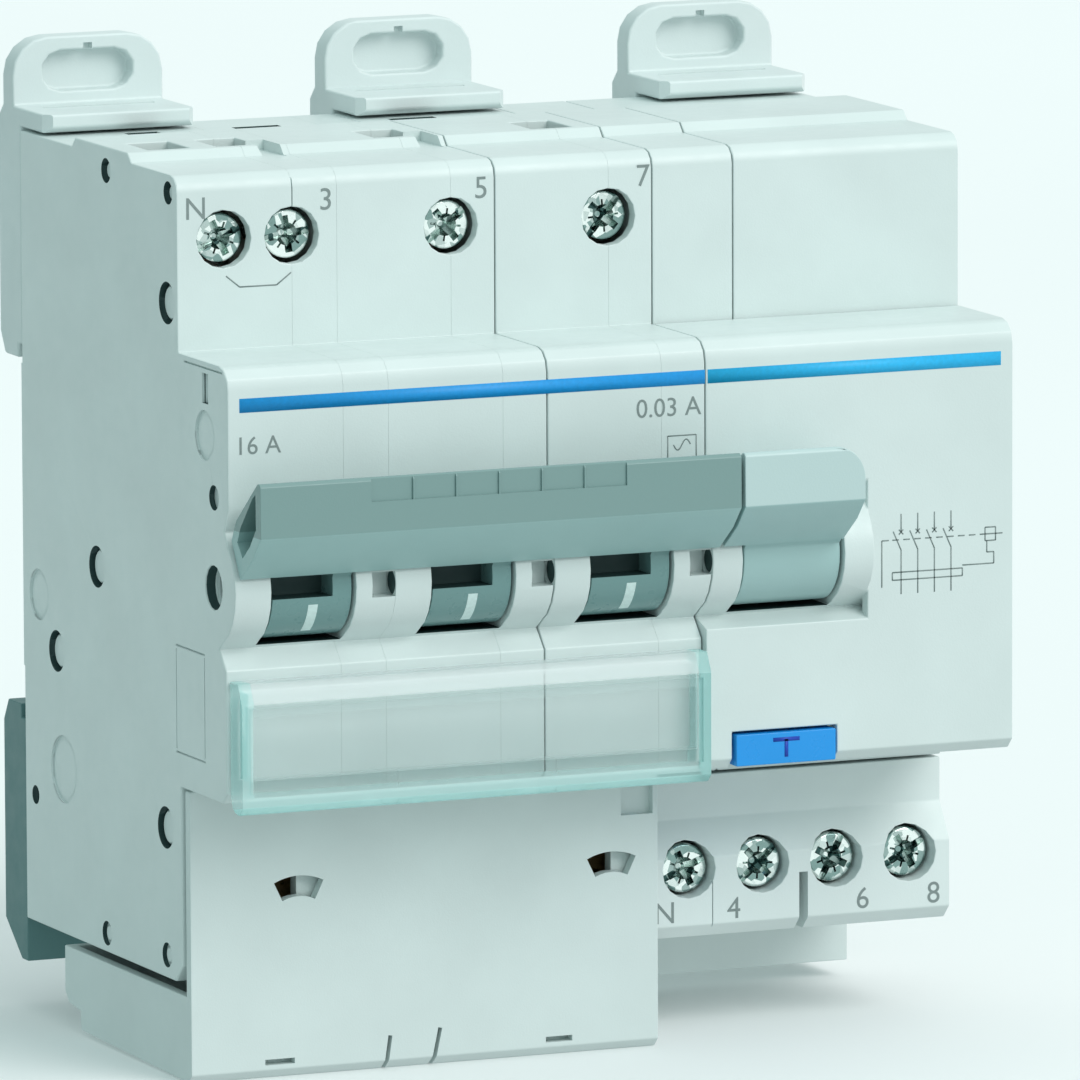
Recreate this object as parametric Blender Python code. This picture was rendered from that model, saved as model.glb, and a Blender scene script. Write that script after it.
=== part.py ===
"""A 3P+N residual current breaker for a 35 mm rail: three breaker poles and a residual current block.

Frame: the origin is the centre of the rail seat on the case's back, +X runs to the right, -Y to the
front and +Z up. Outlines of the side profile are lists of (depth, height), where depth is measured
forward from the rail seat.
"""

import math

import bmesh
import bpy
from mathutils import Matrix, Vector

MM = 0.001

# Case
MODULE = 17.7 * MM
POLE_COUNT = 3
RCD_WIDTH = 34.9 * MM
RCD_LEFT_SHELL = 9.1 * MM
SEAM = 0.3 * MM
SIDE_WALL = 1.3 * MM
EDGE_WALL = 1.5 * MM
TERMINAL_DEPTH = 44.0 * MM
SHOULDER_TOP = 40.6 * MM
RIB_RISE = 1.0 * MM
RIB_START = 16.0 * MM
RIB_END = 30.5 * MM
CASE_BOTTOM = 43.0 * MM
EDGE_ROUND = 1.8 * MM
BACK_RELIEF = 0.3 * MM

# Nose
NOSE_HALF = 22.5 * MM
NOSE_RISE = 13.4 * MM
LOWER_NOSE_SET_BACK = 0.9 * MM
NOSE_ROUND = 2.4 * MM
NOSE_CHAMFER = 1.1 * MM
NOSE_SOLID = 12.0 * MM

# Toggles
AXLE_BEHIND_NOSE = 4.1 * MM
AXLE_Z = -0.5 * MM
AXLE_RADIUS = 1.5 * MM
AXLE_CLEARANCE = 0.3 * MM
COUNTERBORE_STEP = 0.5 * MM
TAPER_RISE = 8.5 * MM
WAIST_DROP = 8.2 * MM
BULGE_RADIUS = 5.9 * MM
DRUM_RADIUS = 5.4 * MM
DRUM_CLEARANCE = 0.5 * MM
TOGGLE_WIDTH = 8.7 * MM
RCD_TOGGLE_INSET = 3.7 * MM
RCD_TOGGLE_WIDTH = 10.9 * MM
RCD_RECESS_TOP = 7.4 * MM
RCD_RECESS_BOTTOM = 7.2 * MM
RCD_RECESS_WIDTH = 18.3 * MM
CHEEK = 1.6 * MM
BAR_END_GAP = 0.4 * MM
BAR_OVERHANG = 0.6 * MM
HEAD_OVERHANG = 2.7 * MM

# Terminals
SCREW_DROP = 6.7 * MM
SCREW_HEAD = 2.7 * MM
SCREW_CLEARANCE = 0.3 * MM
SCREW_HEAD_HEIGHT = 2.0 * MM
SCREW_RECESS = 0.8 * MM
SCREW_SHANK = 1.7 * MM
SCREW_SHANK_LENGTH = 10.2 * MM
THREAD_CLEARANCE = 0.25 * MM
CAGE_HALF_WIDTH = 3.2 * MM
CAGE_WALL = 0.9 * MM
CAGE_LENGTH = 13.0 * MM
CAGE_HEIGHT = 8.4 * MM
CAGE_END_WALL = 1.4 * MM
CAGE_SPACING = 1.1 * MM
CAGE_SLACK = 0.2 * MM
CROSS_LENGTH = 3.8 * MM
CROSS_WIDTH = 0.9 * MM
CLAMP_PLATE = 1.2 * MM
WIRE_SPACE = 6.6 * MM
RCD_TERMINAL_INSET = 4.9 * MM
RCD_TERMINAL_PITCH = 8.45 * MM
RCD_TERMINAL_COUNT = 4
RCD_TERMINAL_Z = -35.6 * MM

# Residual current block's lower terminal block
BLOCK_SET_BACK = 2.1 * MM
BLOCK_TOP = -26.0 * MM
BLOCK_BOTTOM = -42.9 * MM
BLOCK_STEP = 2.4 * MM
BLOCK_STEP_TOP = 4.6 * MM
BLOCK_STEP_BOTTOM = 8.4 * MM
BLOCK_THICKNESS = 25.6 * MM
BLOCK_CHAMFER = 1.4 * MM
FOOT_BOTTOM = -51.5 * MM

# Rail clips
CLIP_INSET = 0.3 * MM
CLIP_SPARE = 0.4 * MM
CLIP_THICKNESS = 6.4 * MM
CLIP_TIP = 16.4 * MM
LIP_HEIGHT = 1.5 * MM
LIP_GAP = 1.6 * MM
EAR_RISE = 9.4 * MM
EAR_FRONT = 2.4 * MM
EAR_THICKNESS = 2.9 * MM
EAR_ROUND = 4.0 * MM
EAR_SLOT_LENGTH = 10.4 * MM
EAR_SLOT_HEIGHT = 4.3 * MM
EAR_SLOT_DEPTH = 1.9 * MM
LOWER_CLIP_TOP = -20.4 * MM
LOWER_CLIP_BOTTOM = -44.0 * MM
PULL_TAB = 3.8 * MM
PULL_TAB_THICKNESS = 1.7 * MM
HOOK_LEAD = 1.4 * MM
HOOK_CHAMFER = 2.3 * MM
FOOT_REACH = 7.0 * MM
FOOT_HEIGHT = 2.0 * MM

# Lower cover and label window
COVER_PLATE = 1.3 * MM
COVER_DROP = 10.3 * MM
COVER_BACK_INSET = 6.0 * MM
COVER_WALL = 1.2 * MM
WINDOW_TOP = -9.7 * MM
WINDOW_BOTTOM = -23.2 * MM
WINDOW_PROUD = 3.5 * MM
WINDOW_WALL = 1.1 * MM
WINDOW_HINGE = 1.7 * MM

# Test button
BUTTON_INSET = 3.2 * MM
BUTTON_WIDTH = 11.3 * MM
BUTTON_TOP = -18.9 * MM
BUTTON_LENGTH = 8.5 * MM
BUTTON_PROUD = 0.4 * MM
BUTTON_NIB = 1.1 * MM
BLADE_LENGTH = 8.0 * MM
BLADE_THICKNESS = 0.4 * MM

# Working parts
COIL_CLEARANCE = 0.1 * MM
COIL_LENGTH = 11.0 * MM
COIL_TURNS = 6
WIRE_GROOVE = 0.35 * MM
CONTACT_OFFSET = 3.4 * MM
CONTACT_DROP = 12.0 * MM
CONTACT_TAIL = 2.0 * MM
CONTACT_PAD = 0.8 * MM
COIL_DROP = 4.0 * MM
WORKS_SPACE = 1.0 * MM
CHUTE_SPINE = 1.2 * MM
ARM_LENGTH = 9.0 * MM
ARM_THICKNESS = 1.2 * MM
CHUTE_PLATES = 7
CHUTE_HEIGHT = 13.0 * MM
BIMETAL_THICKNESS = 0.9 * MM
BIMETAL_FOOT = 6.0 * MM
TOROID_RADIUS = 10.0 * MM
TOROID_BORE = 5.2 * MM
TOROID_HEIGHT = 9.0 * MM
RELAY_SIZE = Vector((13.0, 12.0, 15.0)) * MM
RELAY_ABOVE = 4.0 * MM
PLUNGER_RADIUS = 1.6 * MM
PLUNGER_REACH = 3.0 * MM
BOARD_SIZE = Vector((26.0, 1.6, 22.0)) * MM

GAP = 0.3 * MM
REACH = 5.0 * MM
SEGMENTS = 16

# Derived places
AXLE_BORE = AXLE_RADIUS + AXLE_CLEARANCE
AXLE_COUNTERBORE = AXLE_BORE + COUNTERBORE_STEP
SCREW_HOLE = SCREW_HEAD + SCREW_CLEARANCE
CAGE_PITCH = 2 * CAGE_HALF_WIDTH + CAGE_SPACING
CONTACT_WIDTH = 2 * (CAGE_HALF_WIDTH - CAGE_WALL - GAP)
COIL_RADIUS = CAGE_HALF_WIDTH - COIL_CLEARANCE
CLIP_WIDTH = MODULE - CLIP_INSET - CLIP_SPARE
RIGHT_SHELL = CAGE_HALF_WIDTH + CAGE_SLACK + SIDE_WALL + SEAM
WIDTH = POLE_COUNT * MODULE + RCD_WIDTH
LEFT = -WIDTH / 2
RCD_LEFT = LEFT + POLE_COUNT * MODULE
RIGHT = WIDTH / 2
SPLIT = MODULE - RIGHT_SHELL
TOGGLE_INSET = SPLIT + GAP - TOGGLE_WIDTH
NOSE_DEPTH = TERMINAL_DEPTH + NOSE_RISE
LOWER_NOSE_DEPTH = NOSE_DEPTH - LOWER_NOSE_SET_BACK
AXLE_DEPTH = NOSE_DEPTH - AXLE_BEHIND_NOSE
RIB_TOP = SHOULDER_TOP + RIB_RISE
SCREW_Z = SHOULDER_TOP - SCREW_DROP
BLOCK_FRONT = TERMINAL_DEPTH - BLOCK_SET_BACK
BLOCK_BACK = BLOCK_FRONT - BLOCK_THICKNESS
COVER_BACK = BLOCK_BACK - COVER_BACK_INSET
SEAT_HALF = CLIP_TIP - GAP
CLIP_MODULES = (0, 2, 4)


# ---------------------------------------------------------------- shape helpers


def arc(centre, radius, start, end, steps):
    """Points on an arc, angles in degrees."""
    angles = [math.radians(start + (end - start) * i / steps) for i in range(steps + 1)]
    return [(centre[0] + radius * math.cos(a), centre[1] + radius * math.sin(a)) for a in angles]


def place(axis, first, second, along):
    """The world point for an outline point on a prism whose length runs along axis."""
    if axis == "X":
        return Vector((along, -first, second))
    if axis == "Y":
        return Vector((first, -along, second))
    return Vector((first, -second, along))


def prism_mesh(axis, outline, low, high):
    """A closed prism. The outline is (depth, z) for X, (x, z) for Y and (x, depth) for Z."""
    bm = bmesh.new()
    ends = [[bm.verts.new(place(axis, a, b, at)) for a, b in outline] for at in (low, high)]
    count = len(outline)
    for ring in ends:
        bm.faces.new(ring)
    for i in range(count):
        j = (i + 1) % count
        bm.faces.new((ends[0][i], ends[0][j], ends[1][j], ends[1][i]))
    bmesh.ops.recalc_face_normals(bm, faces=bm.faces)
    return bm


def box_outline(a0, a1, b0, b1):
    return [(a0, b0), (a1, b0), (a1, b1), (a0, b1)]


def box_mesh(x0, x1, depth0, depth1, z0, z1):
    return prism_mesh("X", box_outline(depth0, depth1, z0, z1), x0, x1)


def turned_mesh(axis, centre, profile):
    """A solid of revolution about a line along axis: profile is (radius, along), centre the other two."""
    bm = bmesh.new()
    rings = []
    for radius, along in profile:
        points = arc(centre, radius, 0, 360, SEGMENTS)[:-1]
        rings.append([bm.verts.new(place(axis, a, b, along)) for a, b in points])
    for low, high in zip(rings, rings[1:]):
        for i in range(SEGMENTS):
            j = (i + 1) % SEGMENTS
            bm.faces.new((low[i], low[j], high[j], high[i]))
    bm.faces.new(rings[0])
    bm.faces.new(rings[-1])
    bmesh.ops.recalc_face_normals(bm, faces=bm.faces)
    return bm


def rod_mesh(axis, centre, radius, low, high):
    return turned_mesh(axis, centre, [(radius, low), (radius, high)])


def link(name, bm):
    mesh = bpy.data.meshes.new(name)
    bm.to_mesh(mesh)
    bm.free()
    obj = bpy.data.objects.new(name, mesh)
    bpy.context.scene.collection.objects.link(obj)
    return obj


def part(name, bm, material, origin=None):
    """A sub-part, with its origin on its joint's axis if one is given."""
    obj = link(name, bm)
    obj.data.materials.append(material)
    if origin is not None:
        obj.data.transform(Matrix.Translation(-Vector(origin)))
        obj.location = origin
    return obj


def tool(name, bm):
    """A cutter or a shape to be joined, which is not a sub-part itself."""
    obj = link(name, bm)
    obj.hide_render = True
    obj.display_type = "WIRE"
    return obj


def combine(target, other, operation="DIFFERENCE"):
    modifier = target.modifiers.new(other.name, "BOOLEAN")
    modifier.operation = operation
    modifier.solver = "EXACT"
    modifier.object = other


def cut(target, *tools):
    for other in tools:
        combine(target, other)


def join(target, *tools):
    for other in tools:
        combine(target, other, "UNION")


def material(name, colour, roughness, metallic=0.0, alpha=1.0):
    made = bpy.data.materials.new(name)
    made.use_nodes = True
    shader = made.node_tree.nodes["Principled BSDF"]
    shader.inputs["Base Color"].default_value = (*colour, 1.0)
    shader.inputs["Roughness"].default_value = roughness
    shader.inputs["Metallic"].default_value = metallic
    shader.inputs["Alpha"].default_value = alpha
    made.diffuse_color = (*colour, alpha)
    return made


def about_axle(*points):
    """Outline points given in millimetres forward of and above the toggle axis."""
    return [(AXLE_DEPTH + forward * MM, AXLE_Z + up * MM) for forward, up in points]


def pole_left(index):
    return LEFT + index * MODULE


# ---------------------------------------------------------------- case shells


def top_outline():
    """The top of the side profile, from the back to the terminal face."""
    corner = (TERMINAL_DEPTH - EDGE_ROUND, SHOULDER_TOP - EDGE_ROUND)
    return [
        (BACK_RELIEF, SHOULDER_TOP),
        (RIB_START - RIB_RISE, SHOULDER_TOP),
        (RIB_START, RIB_TOP),
        (RIB_END, RIB_TOP),
        (RIB_END + RIB_RISE, SHOULDER_TOP),
    ] + arc(corner, EDGE_ROUND, 90, 0, 3)


def back_outline(bottom):
    """The back up from its lower edge, with the rail seat standing proud between the clips."""
    return [
        (BACK_RELIEF, bottom),
        (BACK_RELIEF, -SEAT_HALF),
        (0.0, -SEAT_HALF),
        (0.0, SEAT_HALF),
        (BACK_RELIEF, SEAT_HALF),
    ]


def pole_outline():
    """The side profile of a breaker pole, clockwise from the top of its back."""
    nose_corner = (NOSE_DEPTH - NOSE_ROUND, NOSE_HALF - NOSE_ROUND)
    axle = (AXLE_DEPTH, AXLE_Z)
    return (
        top_outline()
        + [(TERMINAL_DEPTH, NOSE_HALF)]
        + arc(nose_corner, NOSE_ROUND, 90, 0, 3)
        + [(NOSE_DEPTH, AXLE_Z + TAPER_RISE)]
        + about_axle((2.9, 6.1))
        + arc(axle, BULGE_RADIUS, 50, -65, 7)
        + about_axle((1.3, -6.2))
        + [
            (LOWER_NOSE_DEPTH, AXLE_Z - WAIST_DROP),
            (LOWER_NOSE_DEPTH, NOSE_CHAMFER - NOSE_HALF),
            (LOWER_NOSE_DEPTH - NOSE_CHAMFER, -NOSE_HALF),
            (TERMINAL_DEPTH, -NOSE_HALF),
            (TERMINAL_DEPTH, -CASE_BOTTOM + EDGE_ROUND),
            (TERMINAL_DEPTH - EDGE_ROUND, -CASE_BOTTOM),
        ]
        + back_outline(-CASE_BOTTOM)
    )


def pole_cavity():
    """The hollow of a pole. It stops behind the toggles, where the nose is solid."""
    nose_wall = NOSE_DEPTH - EDGE_WALL
    solid_front = NOSE_DEPTH - NOSE_SOLID
    front = TERMINAL_DEPTH - EDGE_WALL
    return [
        (EDGE_WALL, SHOULDER_TOP - EDGE_WALL),
        (front, SHOULDER_TOP - EDGE_WALL),
        (front, NOSE_HALF - EDGE_WALL),
        (nose_wall - NOSE_ROUND, NOSE_HALF - EDGE_WALL),
        (nose_wall, NOSE_HALF - NOSE_ROUND),
        (nose_wall, AXLE_Z + TAPER_RISE + MM),
        (solid_front, AXLE_Z + TAPER_RISE - MM),
        (solid_front, AXLE_Z - WAIST_DROP),
        (LOWER_NOSE_DEPTH - EDGE_WALL, AXLE_Z - WAIST_DROP - EDGE_WALL),
        (LOWER_NOSE_DEPTH - EDGE_WALL, EDGE_WALL + NOSE_CHAMFER - NOSE_HALF),
        (LOWER_NOSE_DEPTH - EDGE_WALL - NOSE_CHAMFER, EDGE_WALL - NOSE_HALF),
        (front, EDGE_WALL - NOSE_HALF),
        (front, EDGE_WALL - CASE_BOTTOM),
        (EDGE_WALL, EDGE_WALL - CASE_BOTTOM),
    ]


def line_terminals():
    """The x of each upper terminal with its label: the neutral first, then one for each pole."""
    first = pole_left(0) + SPLIT
    poles = [(str(i + 1), pole_left(i) + SPLIT) for i in range(POLE_COUNT)]
    return [("n", first - CAGE_PITCH)] + poles


def load_terminals():
    names = ["n"] + [str(i + 1) for i in range(RCD_TERMINAL_COUNT - 1)]
    first = RCD_LEFT + RCD_TERMINAL_INSET
    return [(name, first + i * RCD_TERMINAL_PITCH) for i, name in enumerate(names)]


def wire_depths(face_depth):
    """The depths between which a wire lies in an open cage behind a terminal face."""
    plate_back = clamp_depth(face_depth)
    return plate_back - WIRE_SPACE, plate_back


def clamp_depth(face_depth):
    """The depth of the back face of the clamp plate inside a cage."""
    tip = face_depth - SCREW_RECESS - SCREW_HEAD_HEIGHT - SCREW_SHANK_LENGTH
    return tip - GAP - CLAMP_PLATE


def screw_hole_tool(name, x, z, face_depth):
    return tool(
        f"cut_screw_hole_{name}",
        rod_mesh("Y", (x, z), SCREW_HOLE, face_depth - EDGE_WALL - REACH, face_depth + REACH),
    )


def wire_hole_tool(name, x, face_depth, z0, z1):
    low, high = wire_depths(face_depth)
    half = CAGE_HALF_WIDTH - CAGE_WALL
    return tool(f"cut_wire_{name}", box_mesh(x - half, x + half, low, high, z0, z1))


def make_poles(case_material):
    """Three poles of two shells each: a deep left one and a shallow right one that closes it."""
    holes = {}
    for name, x in line_terminals():
        screw = screw_hole_tool(f"line_{name}", x, SCREW_Z, TERMINAL_DEPTH)
        wire = wire_hole_tool(
            f"line_{name}", x, TERMINAL_DEPTH, SHOULDER_TOP - EDGE_WALL - GAP, RIB_TOP + REACH
        )
        holes[name] = (x, screw, wire)
    bore = tool(
        "cut_axle_bore",
        rod_mesh("X", (AXLE_DEPTH, AXLE_Z), AXLE_BORE, LEFT - REACH, RCD_LEFT - SEAM - SIDE_WALL / 2),
    )
    counterbore = tool(
        "cut_axle_counterbore",
        rod_mesh("X", (AXLE_DEPTH, AXLE_Z), AXLE_COUNTERBORE, LEFT - REACH, LEFT + SIDE_WALL),
    )
    for index in range(POLE_COUNT):
        x0 = pole_left(index)
        drum_half = DRUM_RADIUS + DRUM_CLEARANCE
        slot = tool(
            f"cut_toggle_slot_{index + 1}",
            box_mesh(
                x0 + TOGGLE_INSET - GAP,
                x0 + TOGGLE_INSET + TOGGLE_WIDTH + GAP,
                NOSE_DEPTH - NOSE_SOLID - REACH,
                NOSE_DEPTH + REACH,
                AXLE_Z - drum_half,
                AXLE_Z + drum_half,
            ),
        )
        left_start, left_end = x0, x0 + SPLIT - SEAM / 2
        right_start, right_end = x0 + SPLIT + SEAM / 2, x0 + MODULE - SEAM
        spans = {
            "left": (left_start, left_end, left_start + SIDE_WALL, left_end + REACH),
            "right": (right_start, right_end, right_start - REACH, right_end - SIDE_WALL),
        }
        for side, (start, end, hollow_start, hollow_end) in spans.items():
            name = f"pole_{index + 1}_case_{side}"
            shell = part(name, prism_mesh("X", pole_outline(), start, end), case_material)
            hollow = tool(
                f"cut_hollow_{name}", prism_mesh("X", pole_cavity(), hollow_start, hollow_end)
            )
            cut(shell, hollow, slot, bore)
            if name == "pole_1_case_left":
                cut(shell, counterbore)
            for x, screw, wire in holes.values():
                if start - SCREW_HOLE < x < end + SCREW_HOLE:
                    cut(shell, screw)
                    cut(shell, wire)


def rcd_outline():
    """The side profile of the residual current block behind its front cover."""
    return (
        top_outline()
        + [
            (TERMINAL_DEPTH, -NOSE_HALF + EDGE_WALL),
            (BLOCK_FRONT - BLOCK_STEP, BLOCK_TOP + GAP),
            (BLOCK_BACK - GAP, BLOCK_TOP + GAP),
            (BLOCK_BACK - GAP, FOOT_BOTTOM),
        ]
        + back_outline(FOOT_BOTTOM)
    )


def rcd_cavity():
    front = TERMINAL_DEPTH - EDGE_WALL
    return [
        (EDGE_WALL, SHOULDER_TOP - EDGE_WALL),
        (front, SHOULDER_TOP - EDGE_WALL),
        (front, EDGE_WALL * 2 - NOSE_HALF),
        (BLOCK_FRONT - BLOCK_STEP - EDGE_WALL, BLOCK_TOP + GAP + EDGE_WALL),
        (BLOCK_BACK - GAP - EDGE_WALL, BLOCK_TOP + GAP + EDGE_WALL),
        (BLOCK_BACK - GAP - EDGE_WALL, FOOT_BOTTOM + EDGE_WALL),
        (EDGE_WALL, FOOT_BOTTOM + EDGE_WALL),
    ]


def make_rcd_case(case_material):
    seam = RCD_LEFT + RCD_LEFT_SHELL
    spans = {
        "left": (RCD_LEFT, seam - SEAM / 2, RCD_LEFT + SIDE_WALL, seam + REACH),
        "right": (seam + SEAM / 2, RIGHT, seam - REACH, RIGHT - SIDE_WALL),
    }
    for side, (start, end, hollow_start, hollow_end) in spans.items():
        name = f"rcd_case_{side}"
        shell = part(name, prism_mesh("X", rcd_outline(), start, end), case_material)
        cut(shell, tool(f"cut_hollow_{name}", prism_mesh("X", rcd_cavity(), hollow_start, hollow_end)))


def rcd_cover_outline(wall):
    """The side profile of the front cover, or of its hollow with a wall given."""
    top = NOSE_HALF - wall
    front = NOSE_DEPTH - wall
    back = TERMINAL_DEPTH + GAP if wall == 0 else TERMINAL_DEPTH - REACH
    radius = NOSE_ROUND - wall
    return (
        [(back, top)]
        + arc((front - radius, top - radius), radius, 90, 0, 3)
        + [(front, NOSE_CHAMFER - top), (front - NOSE_CHAMFER, -top), (back, -top)]
    )


def rcd_toggle_span():
    start = RCD_LEFT + RCD_TOGGLE_INSET
    return start, start + RCD_TOGGLE_WIDTH


def recess_outline():
    """The bulge around the toggle's drum, with the taper above it and the waist below it."""
    back = NOSE_DEPTH - NOSE_SOLID
    top, bottom = AXLE_Z + RCD_RECESS_TOP, AXLE_Z - RCD_RECESS_BOTTOM
    return (
        [(back, top + EDGE_WALL), (NOSE_DEPTH, top + EDGE_WALL), (NOSE_DEPTH, top)]
        + about_axle((2.9, 6.1))
        + arc((AXLE_DEPTH, AXLE_Z), BULGE_RADIUS, 50, -65, 7)
        + about_axle((1.3, -6.2))
        + [(NOSE_DEPTH, bottom), (NOSE_DEPTH, bottom - EDGE_WALL), (back, bottom - EDGE_WALL)]
    )


def make_rcd_front_cover(case_material):
    """The front cover. Its left part follows the poles' bulge, which carries the toggle's axle."""
    left, right = RCD_LEFT, RIGHT
    recess_end = left + RCD_RECESS_WIDTH
    cover = part(
        "rcd_front_cover", prism_mesh("X", rcd_cover_outline(0), left, right), case_material
    )
    hollow = prism_mesh("X", rcd_cover_outline(EDGE_WALL), left + SIDE_WALL, right - SIDE_WALL)
    cut(cover, tool("cut_hollow_front_cover", hollow))
    recess = box_mesh(
        left - REACH,
        recess_end,
        TERMINAL_DEPTH - REACH,
        NOSE_DEPTH + REACH,
        AXLE_Z - RCD_RECESS_BOTTOM,
        AXLE_Z + RCD_RECESS_TOP,
    )
    cut(cover, tool("cut_recess", recess))
    bulge = prism_mesh("X", recess_outline(), left, recess_end + SIDE_WALL)
    flat = box_mesh(
        recess_end,
        recess_end + SIDE_WALL + REACH,
        NOSE_DEPTH,
        NOSE_DEPTH + REACH,
        -NOSE_HALF,
        NOSE_HALF,
    )
    bulge_tool = tool("join_bulge", bulge)
    cut(bulge_tool, tool("cut_bulge_end", flat))
    join(cover, bulge_tool)
    start, end = rcd_toggle_span()
    drum_half = DRUM_RADIUS + DRUM_CLEARANCE
    slot = box_mesh(
        start - GAP,
        end + GAP,
        TERMINAL_DEPTH,
        NOSE_DEPTH + REACH,
        AXLE_Z - drum_half,
        AXLE_Z + drum_half,
    )
    cut(cover, tool("cut_rcd_toggle_slot", slot))
    bore_start, bore_end = start - GAP - CHEEK * 2 / 3, end + GAP + CHEEK * 2 / 3
    bore = rod_mesh("X", (AXLE_DEPTH, AXLE_Z), AXLE_BORE, bore_start, bore_end)
    cut(cover, tool("cut_rcd_axle_bore", bore))
    button_left, button_right = button_span()
    notch = box_mesh(
        button_left - GAP,
        button_right + GAP,
        NOSE_DEPTH - BUTTON_LENGTH - GAP,
        NOSE_DEPTH + REACH,
        -NOSE_HALF - REACH,
        BUTTON_TOP + GAP,
    )
    cut(cover, tool("cut_button_notch", notch))


def make_terminal_block(case_material):
    """The stepped block below the front cover, with one pocket for each cage, open to the back."""
    front = BLOCK_FRONT
    outline = [
        (BLOCK_BACK, BLOCK_TOP),
        (front - BLOCK_STEP, BLOCK_TOP),
        (front - BLOCK_STEP, BLOCK_TOP - BLOCK_STEP_TOP),
        (front, BLOCK_TOP - BLOCK_STEP_BOTTOM),
        (front, BLOCK_BOTTOM + BLOCK_CHAMFER),
        (front - BLOCK_CHAMFER, BLOCK_BOTTOM),
        (BLOCK_BACK, BLOCK_BOTTOM),
    ]
    block = part(
        "rcd_terminal_block", prism_mesh("X", outline, RCD_LEFT + GAP, RIGHT), case_material
    )
    half = CAGE_HALF_WIDTH + GAP
    for name, x in load_terminals():
        pocket = box_mesh(
            x - half,
            x + half,
            BLOCK_BACK - REACH,
            front - BLOCK_STEP - EDGE_WALL,
            RCD_TERMINAL_Z - CAGE_HEIGHT / 2 - GAP,
            RCD_TERMINAL_Z + CAGE_HEIGHT / 2 + GAP,
        )
        cut(block, tool(f"cut_pocket_{name}", pocket))
        cut(block, screw_hole_tool(f"load_{name}", x, RCD_TERMINAL_Z, front))
        cut(
            block,
            wire_hole_tool(f"load_{name}", x, front, BLOCK_BOTTOM - REACH, RCD_TERMINAL_Z),
        )


# ---------------------------------------------------------------- terminals


def make_terminal(kind, name, x, z, face_depth, steel, zinc):
    """A screw and the cage that it draws forward, both centred on the terminal's axis."""
    head_front = face_depth - SCREW_RECESS
    head_back = head_front - SCREW_HEAD_HEIGHT
    tip = head_back - SCREW_SHANK_LENGTH
    profile = [
        (SCREW_SHANK, tip),
        (SCREW_SHANK, head_back),
        (SCREW_HEAD, head_back),
        (SCREW_HEAD, head_front),
    ]
    axis_point = (x, -head_front, z)
    screw = part(
        f"{kind}_screw_{name}", turned_mesh("Y", (x, z), profile), steel, axis_point
    )
    slot_depth = SCREW_HEAD_HEIGHT / 2
    spans = (CROSS_LENGTH / 2, CROSS_WIDTH / 2)
    for turn, (half_x, half_z) in enumerate((spans, spans[::-1])):
        slot = box_mesh(
            x - half_x,
            x + half_x,
            head_front - slot_depth,
            head_front + REACH,
            z - half_z,
            z + half_z,
        )
        cut(screw, tool(f"cut_cross_{kind}_{name}_{turn}", slot))

    low, _ = wire_depths(face_depth)
    back = low - CAGE_END_WALL
    half_height = CAGE_HEIGHT / 2
    cage = part(
        f"{kind}_cage_{name}",
        box_mesh(
            x - CAGE_HALF_WIDTH,
            x + CAGE_HALF_WIDTH,
            back,
            back + CAGE_LENGTH,
            z - half_height,
            z + half_height,
        ),
        zinc,
        (x, -back, z),
    )
    inner = CAGE_HALF_WIDTH - CAGE_WALL
    loop = box_mesh(
        x - inner,
        x + inner,
        low,
        back + CAGE_LENGTH - CAGE_END_WALL,
        z - half_height - REACH,
        z + half_height + REACH,
    )
    cut(cage, tool(f"cut_loop_{kind}_{name}", loop))
    thread = rod_mesh(
        "Y", (x, z), SCREW_SHANK + THREAD_CLEARANCE, back + CAGE_LENGTH - REACH, face_depth
    )
    cut(cage, tool(f"cut_thread_{kind}_{name}", thread))


# ---------------------------------------------------------------- toggles and bar


def drum_arc():
    return arc((AXLE_DEPTH, AXLE_Z), DRUM_RADIUS, 62, 372, 14)


def bar_outline():
    """The section of the handle bar, a leaning triangle whose tip points up."""
    return about_axle(
        (6.2, 1.6), (9.7, 4.2), (11.8, 6.5), (11.7, 10.9), (10.9, 12.1), (9.0, 11.2), (5.2, 7.6),
        (3.9, 5.4), (5.6, 2.6),
    )


def bar_hollow():
    return about_axle((6.9, 3.9), (8.9, 5.4), (10.2, 7.2), (10.1, 10.2), (6.3, 6.7), (5.5, 5.4))


def make_handle(bar_material):
    """Three toggles on one axis, joined by a bar that clips over their levers."""
    axis_point = (LEFT, -AXLE_DEPTH, AXLE_Z)
    bar_start, bar_end = LEFT + BAR_END_GAP, RCD_LEFT + BAR_OVERHANG
    bar = part(
        "handle_bar", prism_mesh("X", bar_outline(), bar_start, bar_end), bar_material, axis_point
    )
    hollow = prism_mesh("X", bar_hollow(), bar_start - REACH, bar_end + REACH)
    cut(bar, tool("cut_bar_hollow", hollow))
    outline = drum_arc() + about_axle((5.8, 1.9), (3.75, 4.95))
    for index in range(POLE_COUNT):
        start = pole_left(index) + TOGGLE_INSET
        toggle = part(
            f"toggle_{index + 1}",
            prism_mesh("X", outline, start, start + TOGGLE_WIDTH),
            bar_material,
            (start, -AXLE_DEPTH, AXLE_Z),
        )
        bore = rod_mesh(
            "X", (AXLE_DEPTH, AXLE_Z), AXLE_BORE, start - REACH, start + TOGGLE_WIDTH + REACH
        )
        cut(toggle, tool(f"cut_toggle_bore_{index + 1}", bore))


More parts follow.
